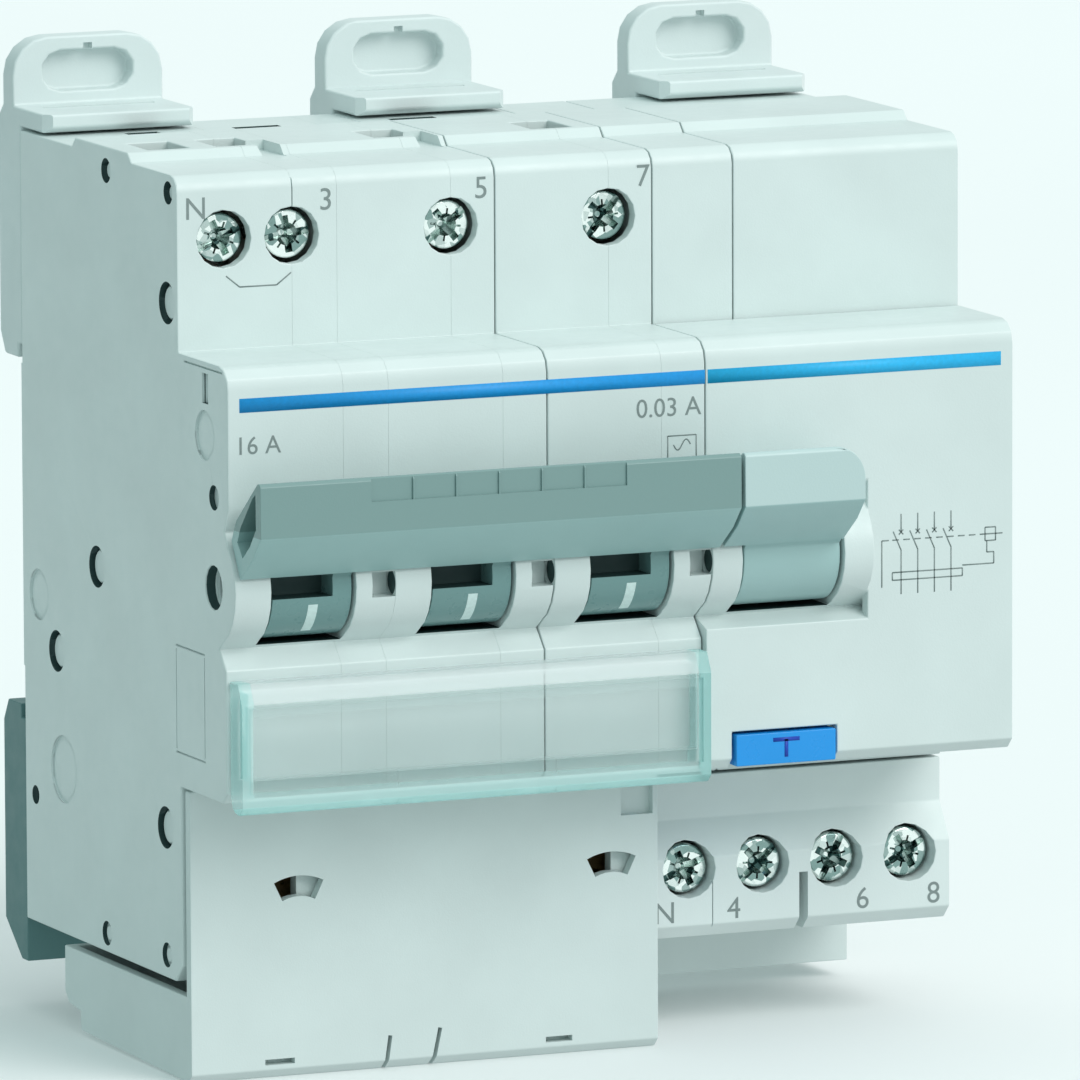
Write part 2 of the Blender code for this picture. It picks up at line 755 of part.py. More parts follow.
def make_rcd_toggle(toggle_material):
    """The residual current block's own toggle: a drum with a solid head that reaches out to the bar."""
    start, end = rcd_toggle_span()
    axis_point = (start, -AXLE_DEPTH, AXLE_Z)
    outline = drum_arc() + about_axle((6.6, 2.4), (4.2, 5.8))
    toggle = part("rcd_toggle", prism_mesh("X", outline, start, end), toggle_material, axis_point)
    head = prism_mesh("X", bar_outline(), start - HEAD_OVERHANG, end)
    join(toggle, tool("join_rcd_head", head))
    bore = rod_mesh("X", (AXLE_DEPTH, AXLE_Z), AXLE_BORE, start - REACH, end + REACH)
    cut(toggle, tool("cut_rcd_toggle_bore", bore))


def make_axles(steel):
    axle_end = pole_left(POLE_COUNT) - SEAM - SIDE_WALL
    part(
        "toggle_axle",
        rod_mesh("X", (AXLE_DEPTH, AXLE_Z), AXLE_RADIUS, LEFT + SIDE_WALL + GAP, axle_end),
        steel,
    )
    start, end = rcd_toggle_span()
    reach = GAP + CHEEK / 3
    part(
        "rcd_toggle_axle",
        rod_mesh("X", (AXLE_DEPTH, AXLE_Z), AXLE_RADIUS, start - reach, end + reach),
        steel,
    )


# ---------------------------------------------------------------- test button


def button_span():
    start = RCD_LEFT + BUTTON_INSET
    return start, start + BUTTON_WIDTH


def make_test_button(button_material, bronze):
    """A blue button that slides back against a contact blade, which is also its spring."""
    left, right = button_span()
    front = NOSE_DEPTH + BUTTON_PROUD
    back = NOSE_DEPTH - BUTTON_LENGTH
    bottom = EDGE_WALL + GAP - NOSE_HALF
    middle = (BUTTON_TOP + bottom) / 2
    centre = ((left + right) / 2, -front, middle)
    key = part(
        "test_button",
        box_mesh(left, right, back, front, bottom, BUTTON_TOP),
        button_material,
        centre,
    )
    sill = box_mesh(
        left, right, NOSE_DEPTH - EDGE_WALL, front, GAP - NOSE_HALF, BUTTON_TOP - EDGE_WALL / 2
    )
    nib_half = BUTTON_NIB / 2
    nib = box_mesh(
        centre[0] - nib_half,
        centre[0] + nib_half,
        back - BUTTON_NIB,
        back + EDGE_WALL,
        middle - nib_half,
        middle + nib_half,
    )
    join(key, tool("join_button_sill", sill), tool("join_button_nib", nib))

    blade_front = back - BUTTON_NIB - GAP
    blade_back = blade_front - BLADE_THICKNESS
    anchor = centre[0] + BLADE_LENGTH
    blade_half = (BUTTON_TOP - bottom) / 2
    blade = box_mesh(
        centre[0] - nib_half, anchor, blade_back, blade_front, middle - blade_half, middle + blade_half
    )
    blade_part = part("test_contact_blade", blade, bronze, (anchor, -blade_back, middle))
    post = rod_mesh("Z", (anchor, blade_back), BUTTON_NIB / 2, middle - blade_half, middle + blade_half)
    join(blade_part, tool("join_blade_post", post))


# ---------------------------------------------------------------- lower cover and label window


def make_lower_cover(cover_material):
    """The cover over the poles' lower terminals: a front plate and a tray for the links below them."""
    front = TERMINAL_DEPTH + GAP + COVER_PLATE
    top = -NOSE_HALF - GAP
    shelf = -CASE_BOTTOM - GAP - RIB_RISE
    bottom = -CASE_BOTTOM - COVER_DROP
    outline = [
        (front, top),
        (front, bottom + EDGE_ROUND / 2),
        (front - EDGE_ROUND / 2, bottom),
        (COVER_BACK + 4.5 * MM, bottom + 0.6 * MM),
        (COVER_BACK + 4.3 * MM, bottom + 2.6 * MM),
        (COVER_BACK + 1.0 * MM, bottom + 3.0 * MM),
        (COVER_BACK, bottom + 4.2 * MM),
        (COVER_BACK, shelf),
        (TERMINAL_DEPTH + GAP, shelf),
        (TERMINAL_DEPTH + GAP, top),
    ]
    start, end = LEFT + GAP, RCD_LEFT - GAP
    cover = part("lower_terminal_cover", prism_mesh("X", outline, start, end), cover_material)
    tray = [
        (TERMINAL_DEPTH - COVER_WALL, shelf + REACH),
        (TERMINAL_DEPTH - COVER_WALL, bottom + COVER_WALL),
        (COVER_BACK + 5.7 * MM, bottom + COVER_WALL + 0.6 * MM),
        (COVER_BACK + 5.5 * MM, bottom + COVER_WALL + 3.0 * MM),
        (COVER_BACK + COVER_WALL, bottom + COVER_WALL + 4.2 * MM),
        (COVER_BACK + COVER_WALL, shelf + REACH),
    ]
    hollow = prism_mesh("X", tray, start + COVER_WALL, end - COVER_WALL)
    cut(cover, tool("cut_cover_tray", hollow))


def window_hinge():
    """The label window's hinge axis as (depth, z)."""
    return LOWER_NOSE_DEPTH + GAP + WINDOW_HINGE, WINDOW_BOTTOM + WINDOW_HINGE


def make_label_window(glass):
    """A clear cover over the label strip, hinged along its lower edge."""
    back = LOWER_NOSE_DEPTH + GAP
    front = LOWER_NOSE_DEPTH + WINDOW_PROUD
    start, end = LEFT + GAP, RCD_LEFT - 2 * GAP
    depth, height = window_hinge()
    outline = (
        [(front - 0.5 * MM, WINDOW_TOP), (back, WINDOW_TOP)]
        + arc((depth, height), WINDOW_HINGE, 180, 270, 4)
        + [(front - 0.8 * MM, WINDOW_BOTTOM), (front, WINDOW_BOTTOM + 0.8 * MM)]
        + [(front, WINDOW_TOP - 0.5 * MM)]
    )
    axis_point = (start, -depth, height)
    window = part("label_window", prism_mesh("X", outline, start, end), glass, axis_point)
    hollow = box_mesh(
        start + WINDOW_WALL,
        end - WINDOW_WALL,
        back - REACH,
        front - WINDOW_WALL,
        height + WINDOW_HINGE,
        WINDOW_TOP - WINDOW_WALL,
    )
    cut(window, tool("cut_window_hollow", hollow))


# ---------------------------------------------------------------- rail clips


def clip_left(slot):
    """The left side of a clip: one module wide, at the left of each clip module."""
    if slot < POLE_COUNT:
        return pole_left(slot) + CLIP_INSET
    return RIGHT - CLIP_INSET - CLIP_WIDTH


def make_upper_clip(number, x0, clip_material):
    """A slider that hooks over the rail's upper edge, with an ear to pull it up."""
    x1 = x0 + CLIP_WIDTH
    back = -GAP - CLIP_THICKNESS
    shoulder = SHOULDER_TOP + GAP
    ear_top = SHOULDER_TOP + EAR_RISE
    outline = [
        (-GAP, shoulder),
        (-GAP, CLIP_TIP + LIP_HEIGHT),
        (-LIP_GAP, CLIP_TIP + LIP_HEIGHT),
        (-LIP_GAP, CLIP_TIP),
        (back + HOOK_LEAD, CLIP_TIP),
        (back, CLIP_TIP + HOOK_CHAMFER),
        (back, shoulder + FOOT_HEIGHT - HOOK_LEAD),
        (back + HOOK_LEAD, shoulder + FOOT_HEIGHT),
        (-EAR_FRONT, shoulder + FOOT_HEIGHT),
        (FOOT_REACH, shoulder + FOOT_HEIGHT),
        (FOOT_REACH, shoulder + FOOT_HEIGHT - HOOK_LEAD),
        (FOOT_REACH - MM, shoulder),
    ]
    clip = part(
        f"upper_rail_clip_{number}", prism_mesh("X", outline, x0, x1), clip_material,
        (x0 + CLIP_WIDTH / 2, -back, CLIP_TIP),
    )
    inset = EAR_ROUND
    ear_outline = (
        [(x0, shoulder + MM), (x1, shoulder + MM)]
        + arc((x1 - inset, ear_top - inset), inset, 0, 90, 4)
        + arc((x0 + inset, ear_top - inset), inset, 90, 180, 4)
    )
    ear_back = -EAR_FRONT - EAR_THICKNESS
    join(clip, tool(f"join_ear_{number}", prism_mesh("Y", ear_outline, ear_back, -EAR_FRONT)))
    radius = EAR_SLOT_HEIGHT / 2
    middle = x0 + CLIP_WIDTH / 2
    run = EAR_SLOT_LENGTH / 2 - radius
    slot_z = shoulder + FOOT_HEIGHT + GAP + MM + radius
    slot_outline = arc((middle + run, slot_z), radius, -90, 90, 5) + arc(
        (middle - run, slot_z), radius, 90, 270, 5
    )
    slot = prism_mesh("Y", slot_outline, -EAR_FRONT - EAR_SLOT_DEPTH, -EAR_FRONT + REACH)
    cut(clip, tool(f"cut_ear_slot_{number}", slot))


def make_lower_clip(number, x0, clip_material):
    """A slider that hooks under the rail's lower edge. It rests pulled out, with its tab below."""
    x1 = x0 + CLIP_WIDTH
    back = -GAP - CLIP_THICKNESS
    top = LOWER_CLIP_TOP
    outline = [
        (-GAP, top - LIP_HEIGHT),
        (-LIP_GAP, top - LIP_HEIGHT),
        (-LIP_GAP, top),
        (back + HOOK_LEAD, top),
        (back, top - HOOK_CHAMFER),
        (back, LOWER_CLIP_BOTTOM),
        (-GAP - PULL_TAB_THICKNESS, LOWER_CLIP_BOTTOM - PULL_TAB),
        (-GAP, LOWER_CLIP_BOTTOM - PULL_TAB),
    ]
    part(
        f"lower_rail_clip_{number}", prism_mesh("X", outline, x0, x1), clip_material,
        (x0 + CLIP_WIDTH / 2, -back, top),
    )


# ---------------------------------------------------------------- working parts


def coil_height():
    """The z of each coil's axis: below its cage with room for the strip that joins them."""
    return SCREW_Z - CAGE_HEIGHT / 2 - COIL_DROP - COIL_RADIUS


def clamp_strip_outline(end_z):
    """A strip (depth, z) that starts inside the cage and runs down to end_z."""
    back = clamp_depth(TERMINAL_DEPTH)
    top = SCREW_Z + CAGE_HEIGHT / 2 - MM
    return box_outline(back, back + CLAMP_PLATE, end_z, top)


def contact_depth():
    """The depth of the fixed contacts' front face."""
    return clamp_depth(TERMINAL_DEPTH) + CLAMP_PLATE + CONTACT_OFFSET


def fixed_contact_outline():
    """The fixed contact as (depth, z), which hangs below the coil from the strip."""
    front = contact_depth()
    under_coil = coil_height() - COIL_RADIUS
    low = under_coil - CONTACT_DROP - CONTACT_TAIL
    return [
        (front - CLAMP_PLATE - MM, under_coil - CONTACT_TAIL),
        (front - CLAMP_PLATE, low),
        (front, low),
        (front, under_coil + MM),
        (front - CLAMP_PLATE - CONTACT_OFFSET, under_coil + MM),
        (front - CLAMP_PLATE - CONTACT_OFFSET, under_coil - CONTACT_TAIL),
    ]


def make_magnetic_trip(number, x, copper):
    """A coil with its terminal strip above and its fixed contact below, welded into one piece."""
    height = coil_height()
    front = contact_depth()
    start = front - COIL_LENGTH
    step = COIL_LENGTH / COIL_TURNS
    profile = []
    for turn in range(COIL_TURNS):
        at = start + turn * step
        profile += [(COIL_RADIUS, at), (COIL_RADIUS, at + step * 0.6)]
        profile += [(COIL_RADIUS - WIRE_GROOVE, at + step * 0.75)]
    profile += [(COIL_RADIUS, start + COIL_LENGTH)]
    trip = part(f"magnetic_trip_{number}", turned_mesh("Y", (x, height), profile), copper)
    half = CONTACT_WIDTH / 2
    strip = prism_mesh("X", clamp_strip_outline(height), x - half, x + half)
    contact = prism_mesh("X", fixed_contact_outline(), x - half, x + half)
    join(
        trip,
        tool(f"join_strip_{number}", strip),
        tool(f"join_contact_{number}", contact),
    )


def make_neutral_contact(x, copper):
    """The neutral's fixed contact: the same strip and contact without a coil."""
    height = coil_height()
    half = CONTACT_WIDTH / 2
    strip = prism_mesh("X", clamp_strip_outline(height - COIL_RADIUS - MM), x - half, x + half)
    neutral = part("neutral_fixed_contact", strip, copper)
    contact = prism_mesh("X", fixed_contact_outline(), x - half, x + half)
    join(neutral, tool("join_neutral_contact", contact))


def contact_pivot():
    """The moving contacts' axis as (depth, z)."""
    tip_z = coil_height() - COIL_RADIUS - CONTACT_DROP
    return contact_depth() + GAP + ARM_THICKNESS * 1.5, tip_z + ARM_LENGTH


def make_moving_contact(name, x, copper):
    """An arm that hangs from its pivot, with its contact pad against the fixed contact."""
    depth, z = contact_pivot()
    back = contact_depth() + GAP
    arm_back = back + CONTACT_PAD
    tip = z - ARM_LENGTH
    outline = [
        (back, tip - MM),
        (arm_back + ARM_THICKNESS, tip - MM),
        (arm_back + ARM_THICKNESS, z - MM),
        (depth + ARM_THICKNESS, z),
        (depth + ARM_THICKNESS, z + CONTACT_TAIL),
        (depth - ARM_THICKNESS, z + CONTACT_TAIL),
        (depth - ARM_THICKNESS, z),
        (arm_back, z - CONTACT_TAIL),
        (arm_back, tip + MM),
        (back, tip + MM),
    ]
    half = CONTACT_WIDTH / 2 - GAP
    part(
        f"moving_contact_{name}", prism_mesh("X", outline, x - half, x + half), copper,
        (x, -depth, z),
    )


def make_arc_chute(number, x, steel):
    """Splitter plates joined along their back edge, as a comb seen from the side."""
    back = EDGE_WALL + GAP
    front = contact_depth() - CLAMP_PLATE - 2 * WORKS_SPACE
    top = contact_pivot()[1] - ARM_LENGTH + 2 * WORKS_SPACE
    pitch = CHUTE_HEIGHT / (CHUTE_PLATES - 0.5)
    outline = [(back, top - CHUTE_HEIGHT), (back, top)]
    for plate in range(CHUTE_PLATES):
        high = top - plate * pitch
        low = high - pitch / 2
        outline += [(front, high), (front, low)]
        if plate < CHUTE_PLATES - 1:
            outline += [(back + CHUTE_SPINE, low), (back + CHUTE_SPINE, low - pitch / 2)]
    outline[-1] = (front, top - CHUTE_HEIGHT)
    half = CAGE_HALF_WIDTH
    part(f"arc_chute_{number}", prism_mesh("X", outline, x - half, x + half), steel)


def make_bimetal(number, x, alloy):
    """A strip that bends as it warms, standing in front of the arc chute."""
    front = TERMINAL_DEPTH - EDGE_WALL - 3 * WORKS_SPACE
    low = EDGE_WALL + 2 * WORKS_SPACE - CASE_BOTTOM
    high = contact_pivot()[1] - ARM_LENGTH - 5 * WORKS_SPACE
    outline = [
        (front - BIMETAL_FOOT, low),
        (front, low),
        (front, high),
        (front - BIMETAL_THICKNESS, high),
        (front - BIMETAL_THICKNESS, low + BIMETAL_THICKNESS),
        (front - BIMETAL_FOOT, low + BIMETAL_THICKNESS),
    ]
    half = CONTACT_WIDTH / 2
    part(f"bimetal_strip_{number}", prism_mesh("X", outline, x - half, x + half), alloy)


def make_rcd_works(core_material, relay_material, board_material):
    """The current transformer, the trip relay and the test circuit's board."""
    x = RCD_LEFT + SIDE_WALL + GAP + TOROID_RADIUS + WORKS_SPACE
    depth = EDGE_WALL + GAP + TOROID_RADIUS + WORKS_SPACE
    low = BLOCK_TOP + GAP + EDGE_WALL + 3 * WORKS_SPACE
    ring = rod_mesh("Z", (x, depth), TOROID_RADIUS, low, low + TOROID_HEIGHT)
    toroid = part("current_transformer", ring, core_material)
    bore = rod_mesh("Z", (x, depth), TOROID_BORE, low - REACH, low + TOROID_HEIGHT + REACH)
    cut(toroid, tool("cut_transformer_bore", bore))

    relay_x = RIGHT - SIDE_WALL - WORKS_SPACE - RELAY_SIZE.x
    relay_depth = depth - RELAY_SIZE.y / 2
    relay_low = low + TOROID_HEIGHT + RELAY_ABOVE
    relay = part(
        "trip_relay",
        box_mesh(
            relay_x,
            relay_x + RELAY_SIZE.x,
            relay_depth,
            relay_depth + RELAY_SIZE.y,
            relay_low,
            relay_low + RELAY_SIZE.z,
        ),
        relay_material,
    )
    plunger_centre = (relay_x + RELAY_SIZE.x / 2, relay_low + RELAY_SIZE.z / 2)
    relay_front = relay_depth + RELAY_SIZE.y
    plunger = rod_mesh(
        "Y", plunger_centre, PLUNGER_RADIUS, relay_depth + MM, relay_front + PLUNGER_REACH
    )
    join(relay, tool("join_relay_plunger", plunger))

    board_back = TERMINAL_DEPTH - EDGE_WALL - 2 * WORKS_SPACE - BOARD_SIZE.y
    board_x = RCD_LEFT + SIDE_WALL + 2 * WORKS_SPACE
    face = board_back
    board_parts = ((3, 9, 3.0), (12, 15, 4.5), (18, 23, 2.4))
    outline = [(board_x, board_back + BOARD_SIZE.y), (board_x, face)]
    for start, end, height in board_parts:
        x0, x1 = board_x + start * MM, board_x + end * MM
        outline += [(x0, face), (x0, face - height * MM), (x1, face - height * MM), (x1, face)]
    outline += [(board_x + BOARD_SIZE.x, face), (board_x + BOARD_SIZE.x, face + BOARD_SIZE.y)]
    board_low = relay_low - 6 * MM
    part(
        "test_circuit_board",
        prism_mesh("Z", outline, board_low, board_low + BOARD_SIZE.z),
        board_material,
    )


# ---------------------------------------------------------------- assembly


def shade_round_edges(angle_degrees):
    for obj in bpy.data.objects:
        obj.data.shade_smooth()
        obj.data.set_sharp_from_angle(angle=math.radians(angle_degrees))


def build():
    for obj in list(bpy.data.objects):
        bpy.data.objects.remove(obj, do_unlink=True)

    white = material("white_case", (0.80, 0.84, 0.83), 0.45)
    grey_case = material("grey_block", (0.66, 0.72, 0.71), 0.5)
    dark_grey = material("handle_grey", (0.27, 0.36, 0.36), 0.45)
    light_grey = material("rcd_toggle_grey", (0.42, 0.52, 0.52), 0.45)
    blue = material("button_blue", (0.02, 0.22, 0.72), 0.35)
    clear = material("clear_window", (0.72, 0.90, 0.86), 0.08, alpha=0.35)
    clip_light = material("clip_light", (0.74, 0.78, 0.78), 0.5)
    clip_dark = material("clip_dark", (0.12, 0.19, 0.19), 0.5)
    zinc = material("zinc_plate", (0.72, 0.74, 0.72), 0.32, metallic=1.0)
    steel = material("steel", (0.62, 0.63, 0.64), 0.3, metallic=1.0)
    copper = material("copper", (0.80, 0.45, 0.28), 0.35, metallic=1.0)
    bronze = material("bronze", (0.72, 0.52, 0.28), 0.35, metallic=1.0)
    core = material("transformer_core", (0.10, 0.11, 0.12), 0.6)
    relay = material("relay_case", (0.14, 0.15, 0.17), 0.5)
    board = material("circuit_board", (0.05, 0.25, 0.12), 0.5)

    make_poles(white)
    make_rcd_case(white)
    make_rcd_front_cover(white)
    make_terminal_block(grey_case)
    make_lower_cover(white)
    make_label_window(clear)
    make_handle(dark_grey)
    make_rcd_toggle(light_grey)
    make_axles(steel)
    make_test_button(blue, bronze)
    for number, slot in enumerate(CLIP_MODULES, start=1):
        make_upper_clip(number, clip_left(slot), clip_light)
        make_lower_clip(number, clip_left(slot), clip_dark)
    for name, x in line_terminals():
        make_terminal("line", name, x, SCREW_Z, TERMINAL_DEPTH, zinc, zinc)
        make_moving_contact(name, x, copper)
        if name == "n":
            make_neutral_contact(x, copper)
        else:
            make_magnetic_trip(name, x, copper)
            make_arc_chute(name, x, steel)
            make_bimetal(name, x, bronze)
    for name, x in load_terminals():
        make_terminal("load", name, x, RCD_TERMINAL_Z, BLOCK_FRONT, zinc, zinc)
    make_rcd_works(core, relay, board)
    shade_round_edges(35)


build()
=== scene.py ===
"""The looks of a 3P+N residual current breaker: detailed pieces, materials, camera and light.

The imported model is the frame: +X right, -Y front, +Z up, and every place is worked out from the boxes
of its nodes. Outlines of the side profile are (depth, height), where depth is measured forward from
the rail seat.
"""

import math

import bmesh
import bpy
from mathutils import Matrix, Vector


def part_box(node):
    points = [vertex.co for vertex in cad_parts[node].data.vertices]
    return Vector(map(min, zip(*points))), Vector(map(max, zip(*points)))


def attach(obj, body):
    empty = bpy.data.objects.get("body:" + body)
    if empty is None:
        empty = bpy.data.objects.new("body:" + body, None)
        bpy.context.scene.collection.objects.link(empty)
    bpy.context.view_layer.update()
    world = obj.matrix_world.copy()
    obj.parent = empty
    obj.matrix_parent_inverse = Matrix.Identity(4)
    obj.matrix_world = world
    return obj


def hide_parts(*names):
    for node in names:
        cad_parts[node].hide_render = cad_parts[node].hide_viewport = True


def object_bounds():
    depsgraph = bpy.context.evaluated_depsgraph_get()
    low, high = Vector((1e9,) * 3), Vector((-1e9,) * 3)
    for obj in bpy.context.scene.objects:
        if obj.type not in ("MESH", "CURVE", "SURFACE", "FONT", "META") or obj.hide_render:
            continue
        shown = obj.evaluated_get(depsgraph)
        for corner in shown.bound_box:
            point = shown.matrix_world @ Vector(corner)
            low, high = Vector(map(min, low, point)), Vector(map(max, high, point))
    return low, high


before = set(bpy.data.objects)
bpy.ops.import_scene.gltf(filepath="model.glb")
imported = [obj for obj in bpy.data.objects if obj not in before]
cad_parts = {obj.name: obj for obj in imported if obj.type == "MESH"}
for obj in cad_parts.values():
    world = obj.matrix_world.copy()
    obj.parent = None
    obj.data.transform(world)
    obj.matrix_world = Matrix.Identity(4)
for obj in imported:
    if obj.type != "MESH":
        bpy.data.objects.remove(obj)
cad_low, cad_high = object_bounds()

MM = 0.001

# Case
POLES = 3
MODULE = 17.7 * MM
SPLIT = 12.7 * MM
CAD_SEAM = 0.3 * MM
SEAM = 0.12 * MM
HAIRLINE = 0.02 * MM
NOSE_DEPTH = 57.4 * MM
TERMINAL_DEPTH = 44.0 * MM
COVER_SLOTS_X = (12.35, 47.5)
RIB_TOP = 40.55 * MM
TOP_SLOT_BACK = 7.2 * MM
TOP_SLOT_FRONT = 13.0 * MM
TOP_SLOT_FLOOR = 34.0 * MM
ABOVE_TOP = 44.0 * MM

# Toggles, their wells and the link pins between the modules
AXLE_DEPTH = 53.3 * MM
AXLE_Z = -0.5 * MM
AXLE_BORE = 1.8 * MM
DRUM_RADIUS = 5.4 * MM
DRUM_SLOT_BACK = AXLE_DEPTH + 2.4 * MM
WELL_HALF = 5.9 * MM
WELL_BACK = 46.0 * MM
WELL_FRONT = 60.0 * MM
GRIP_PANELS = 6
GRIP_PITCH = 4.74 * MM
GRIP_GAP = 0.14 * MM
PIN_PLACE = (AXLE_DEPTH + 4.3 * MM, AXLE_Z + 0.1 * MM)
PIN_RADIUS = 1.28 * MM
PIN_HOLE_RADIUS = 1.35 * MM
POCKET_DEPTH = 56.6 * MM

# Label window
BEVEL_DROP = 2.1 * MM
WINDOW_WALL = 1.35 * MM
WINDOW_LIP = -21.0 * MM
WINDOW_LUGS_X = (16.6, 34.2)

# Screws
HEAD_RADIUS = 2.62 * MM
HEAD_HEIGHT = 2.0 * MM
HEAD_SINK = 0.6 * MM
SHANK_RADIUS = 1.7 * MM
THREAD_PITCH = 0.8 * MM
THREAD_DEPTH = 0.3 * MM

# Edges and marks
EDGE_SOFT = 0.16 * MM
EDGE_CRISP = 0.09 * MM
EDGE_EAR = 0.28 * MM
SHARP_ANGLE = 30
SMOOTH_ANGLE = 38
INK = 0.02 * MM
LINE = 0.13 * MM
LETTER = 2.35 * MM
STRIPE_LOW = 17.9 * MM
STRIPE_HIGH = 19.35 * MM
WELD = 0.002 * MM
REACH = 4.0 * MM
STEPS = 40

# Camera, in metres and degrees
CAMERA_PLACE = Vector((-0.59919, -1.42098, 0.22357))
CAMERA_YAW = 23.385
CAMERA_PITCH = 8.452
CAMERA_ROLL = -0.230
CAMERA_LENS = 488.7
CAMERA_SENSOR = 36.0

# Light
SKY_LEVEL = 0.60
SKY_ABOVE = 0.36
SKY_LEFT = (0.74, 1.0, 0.99)
SKY_RIGHT = (0.96, 1.0, 1.0)
SKY_GAINS = (("X", 0.15), ("Y", -0.08))

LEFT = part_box("pole_1_case_left")[0].x
RCD_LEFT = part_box("rcd_case_left")[0].x
BLOCK_DEPTH = -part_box("rcd_terminal_block")[0].y
COVER_DEPTH = -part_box("lower_terminal_cover")[0].y
BAR_DEPTH = -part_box("handle_bar")[0].y


# ---------------------------------------------------------------- shape helpers


def about_axle(*pairs):
    """Outline points given in millimetres forward of and above the toggle axis."""
    return [(AXLE_DEPTH + forward * MM, AXLE_Z + up * MM) for forward, up in pairs]


def arc(centre, radius, start, end, steps=STEPS):
    """Points on an arc, angles in degrees."""
    angles = [math.radians(start + (end - start) * i / steps) for i in range(steps + 1)]
    return [(centre[0] + radius * math.cos(a), centre[1] + radius * math.sin(a)) for a in angles]


def ring_sector(centre, inner, outer, start, end, steps=STEPS):
    return arc(centre, outer, start, end, steps) + arc(centre, inner, end, start, steps)


def place(axis, first, second, along):
    """The world point for an outline point on a prism whose length runs along axis."""
    if axis == "X":
        return Vector((along, -first, second))
    if axis == "Y":
        return Vector((first, -along, second))
    return Vector((first, -second, along))


def prism(axis, outline, low, high, shrink=1.0):
    """A closed prism. The outline is (depth, z) for X, (x, z) for Y and (x, depth) for Z.

    With shrink the far end is drawn in towards the outline's middle.
    """
    bm = bmesh.new()
    middle = [sum(point[i] for point in outline) / len(outline) for i in (0, 1)]
    far = [tuple(middle[i] + (point[i] - middle[i]) * shrink for i in (0, 1)) for point in outline]
    rings = [
        [bm.verts.new(place(axis, a, b, at)) for a, b in points]
        for points, at in ((outline, low), (far, high))
    ]
    count = len(outline)
    for ring in rings:
        bm.faces.new(ring)
    for i in range(count):
        j = (i + 1) % count
        bm.faces.new((rings[0][i], rings[0][j], rings[1][j], rings[1][i]))
    bmesh.ops.recalc_face_normals(bm, faces=bm.faces)
    return bm


def box_outline(a0, a1, b0, b1):
    return [(a0, b0), (a1, b0), (a1, b1), (a0, b1)]


def block(x0, x1, depth0, depth1, z0, z1):
    return prism("X", box_outline(depth0, depth1, z0, z1), x0, x1)


def turned(axis, centre, profile, steps=STEPS):
    """A solid of revolution about a line along axis: profile is (radius, along)."""
    bm = bmesh.new()
    rings = []
    for radius, along in profile:
        points = arc(centre, radius, 0, 360, steps)[:-1]
        rings.append([bm.verts.new(place(axis, a, b, along)) for a, b in points])
    for low, high in zip(rings, rings[1:]):
        for i in range(steps):
            j = (i + 1) % steps
            bm.faces.new((low[i], low[j], high[j], high[i]))
    bm.faces.new(rings[0])
    bm.faces.new(rings[-1])
    bmesh.ops.recalc_face_normals(bm, faces=bm.faces)
    return bm


def rod(axis, centre, radius, low, high):
    return turned(axis, centre, [(radius, low), (radius, high)])


def clean(bm):
    """Welds doubled points and makes each flat area one face again."""
    bmesh.ops.remove_doubles(bm, verts=bm.verts, dist=WELD)
    bmesh.ops.dissolve_limit(
        bm, angle_limit=math.radians(0.4), verts=bm.verts, edges=bm.edges, delimit={"MATERIAL"}
    )
    bmesh.ops.recalc_face_normals(bm, faces=bm.faces)


def shape_of(node, ends=()):
    """A node's shape to work on, with the planes x = old moved to x = new for each pair in ends."""
    bm = bmesh.new()
    bm.from_mesh(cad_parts[node].data)
    for old, new in ends:
        for vertex in bm.verts:
            if abs(vertex.co.x - old) < CAD_SEAM / 4:
                vertex.co.x = new
    clean(bm)
    return bm


def linked(name, bm):
    mesh = bpy.data.meshes.new(name)
    bm.to_mesh(mesh)
    bm.free()
    for layer in ("custom_normal", "sharp_face", "sharp_edge"):
        if layer in mesh.attributes:
            mesh.attributes.remove(mesh.attributes[layer])
    obj = bpy.data.objects.new(name, mesh)
    bpy.context.scene.collection.objects.link(obj)
    return obj


def combined(obj, operation, shapes):
    """Adds or cuts the shapes and keeps the result as obj's own mesh."""
    tools = [linked(f"tool_{i}", bm) for i, bm in enumerate(shapes)]
    for other in tools:
        modifier = obj.modifiers.new(other.name, "BOOLEAN")
        modifier.operation = operation
        modifier.solver = "EXACT"
        modifier.object = other
    graph = bpy.context.evaluated_depsgraph_get()
    mesh = bpy.data.meshes.new_from_object(obj.evaluated_get(graph))
    obj.modifiers.clear()
    old = obj.data
    obj.data = mesh
    bpy.data.meshes.remove(old)
    for other in tools:
        bpy.data.objects.remove(other)


def soften(obj, width, segments=2, joined=()):
    """Rounds the sharp edges a little, but not those on the planes x = joined, where two shells meet."""
    bm = bmesh.new()
    bm.from_mesh(obj.data)
    bmesh.ops.remove_doubles(bm, verts=bm.verts, dist=WELD)
    weight = bm.edges.layers.float.new("bevel_weight_edge")
    for edge in bm.edges:
        sharp = edge.calc_face_angle(0.0) > math.radians(SHARP_ANGLE)
        hidden = any(all(abs(v.co.x - x) < WELD for v in edge.verts) for x in joined)
        edge[weight] = 1.0 if sharp and not hidden and not at_well(edge) else 0.0
    bm.to_mesh(obj.data)
    bm.free()
    bevel = obj.modifiers.new("edges", "BEVEL")
    bevel.width = width
    bevel.segments = segments
    bevel.limit_method = "WEIGHT"
    bevel.use_clamp_overlap = False
    combined(obj, "DIFFERENCE", [])


def at_well(edge):
    """Whether the edge is the upper or lower end of a toggle's well, which stays crisp."""
    return all(
        abs(abs(v.co.z - AXLE_Z) - WELL_HALF) < 0.05 * MM and WELL_BACK < -v.co.y < WELL_FRONT
        for v in edge.verts
    )


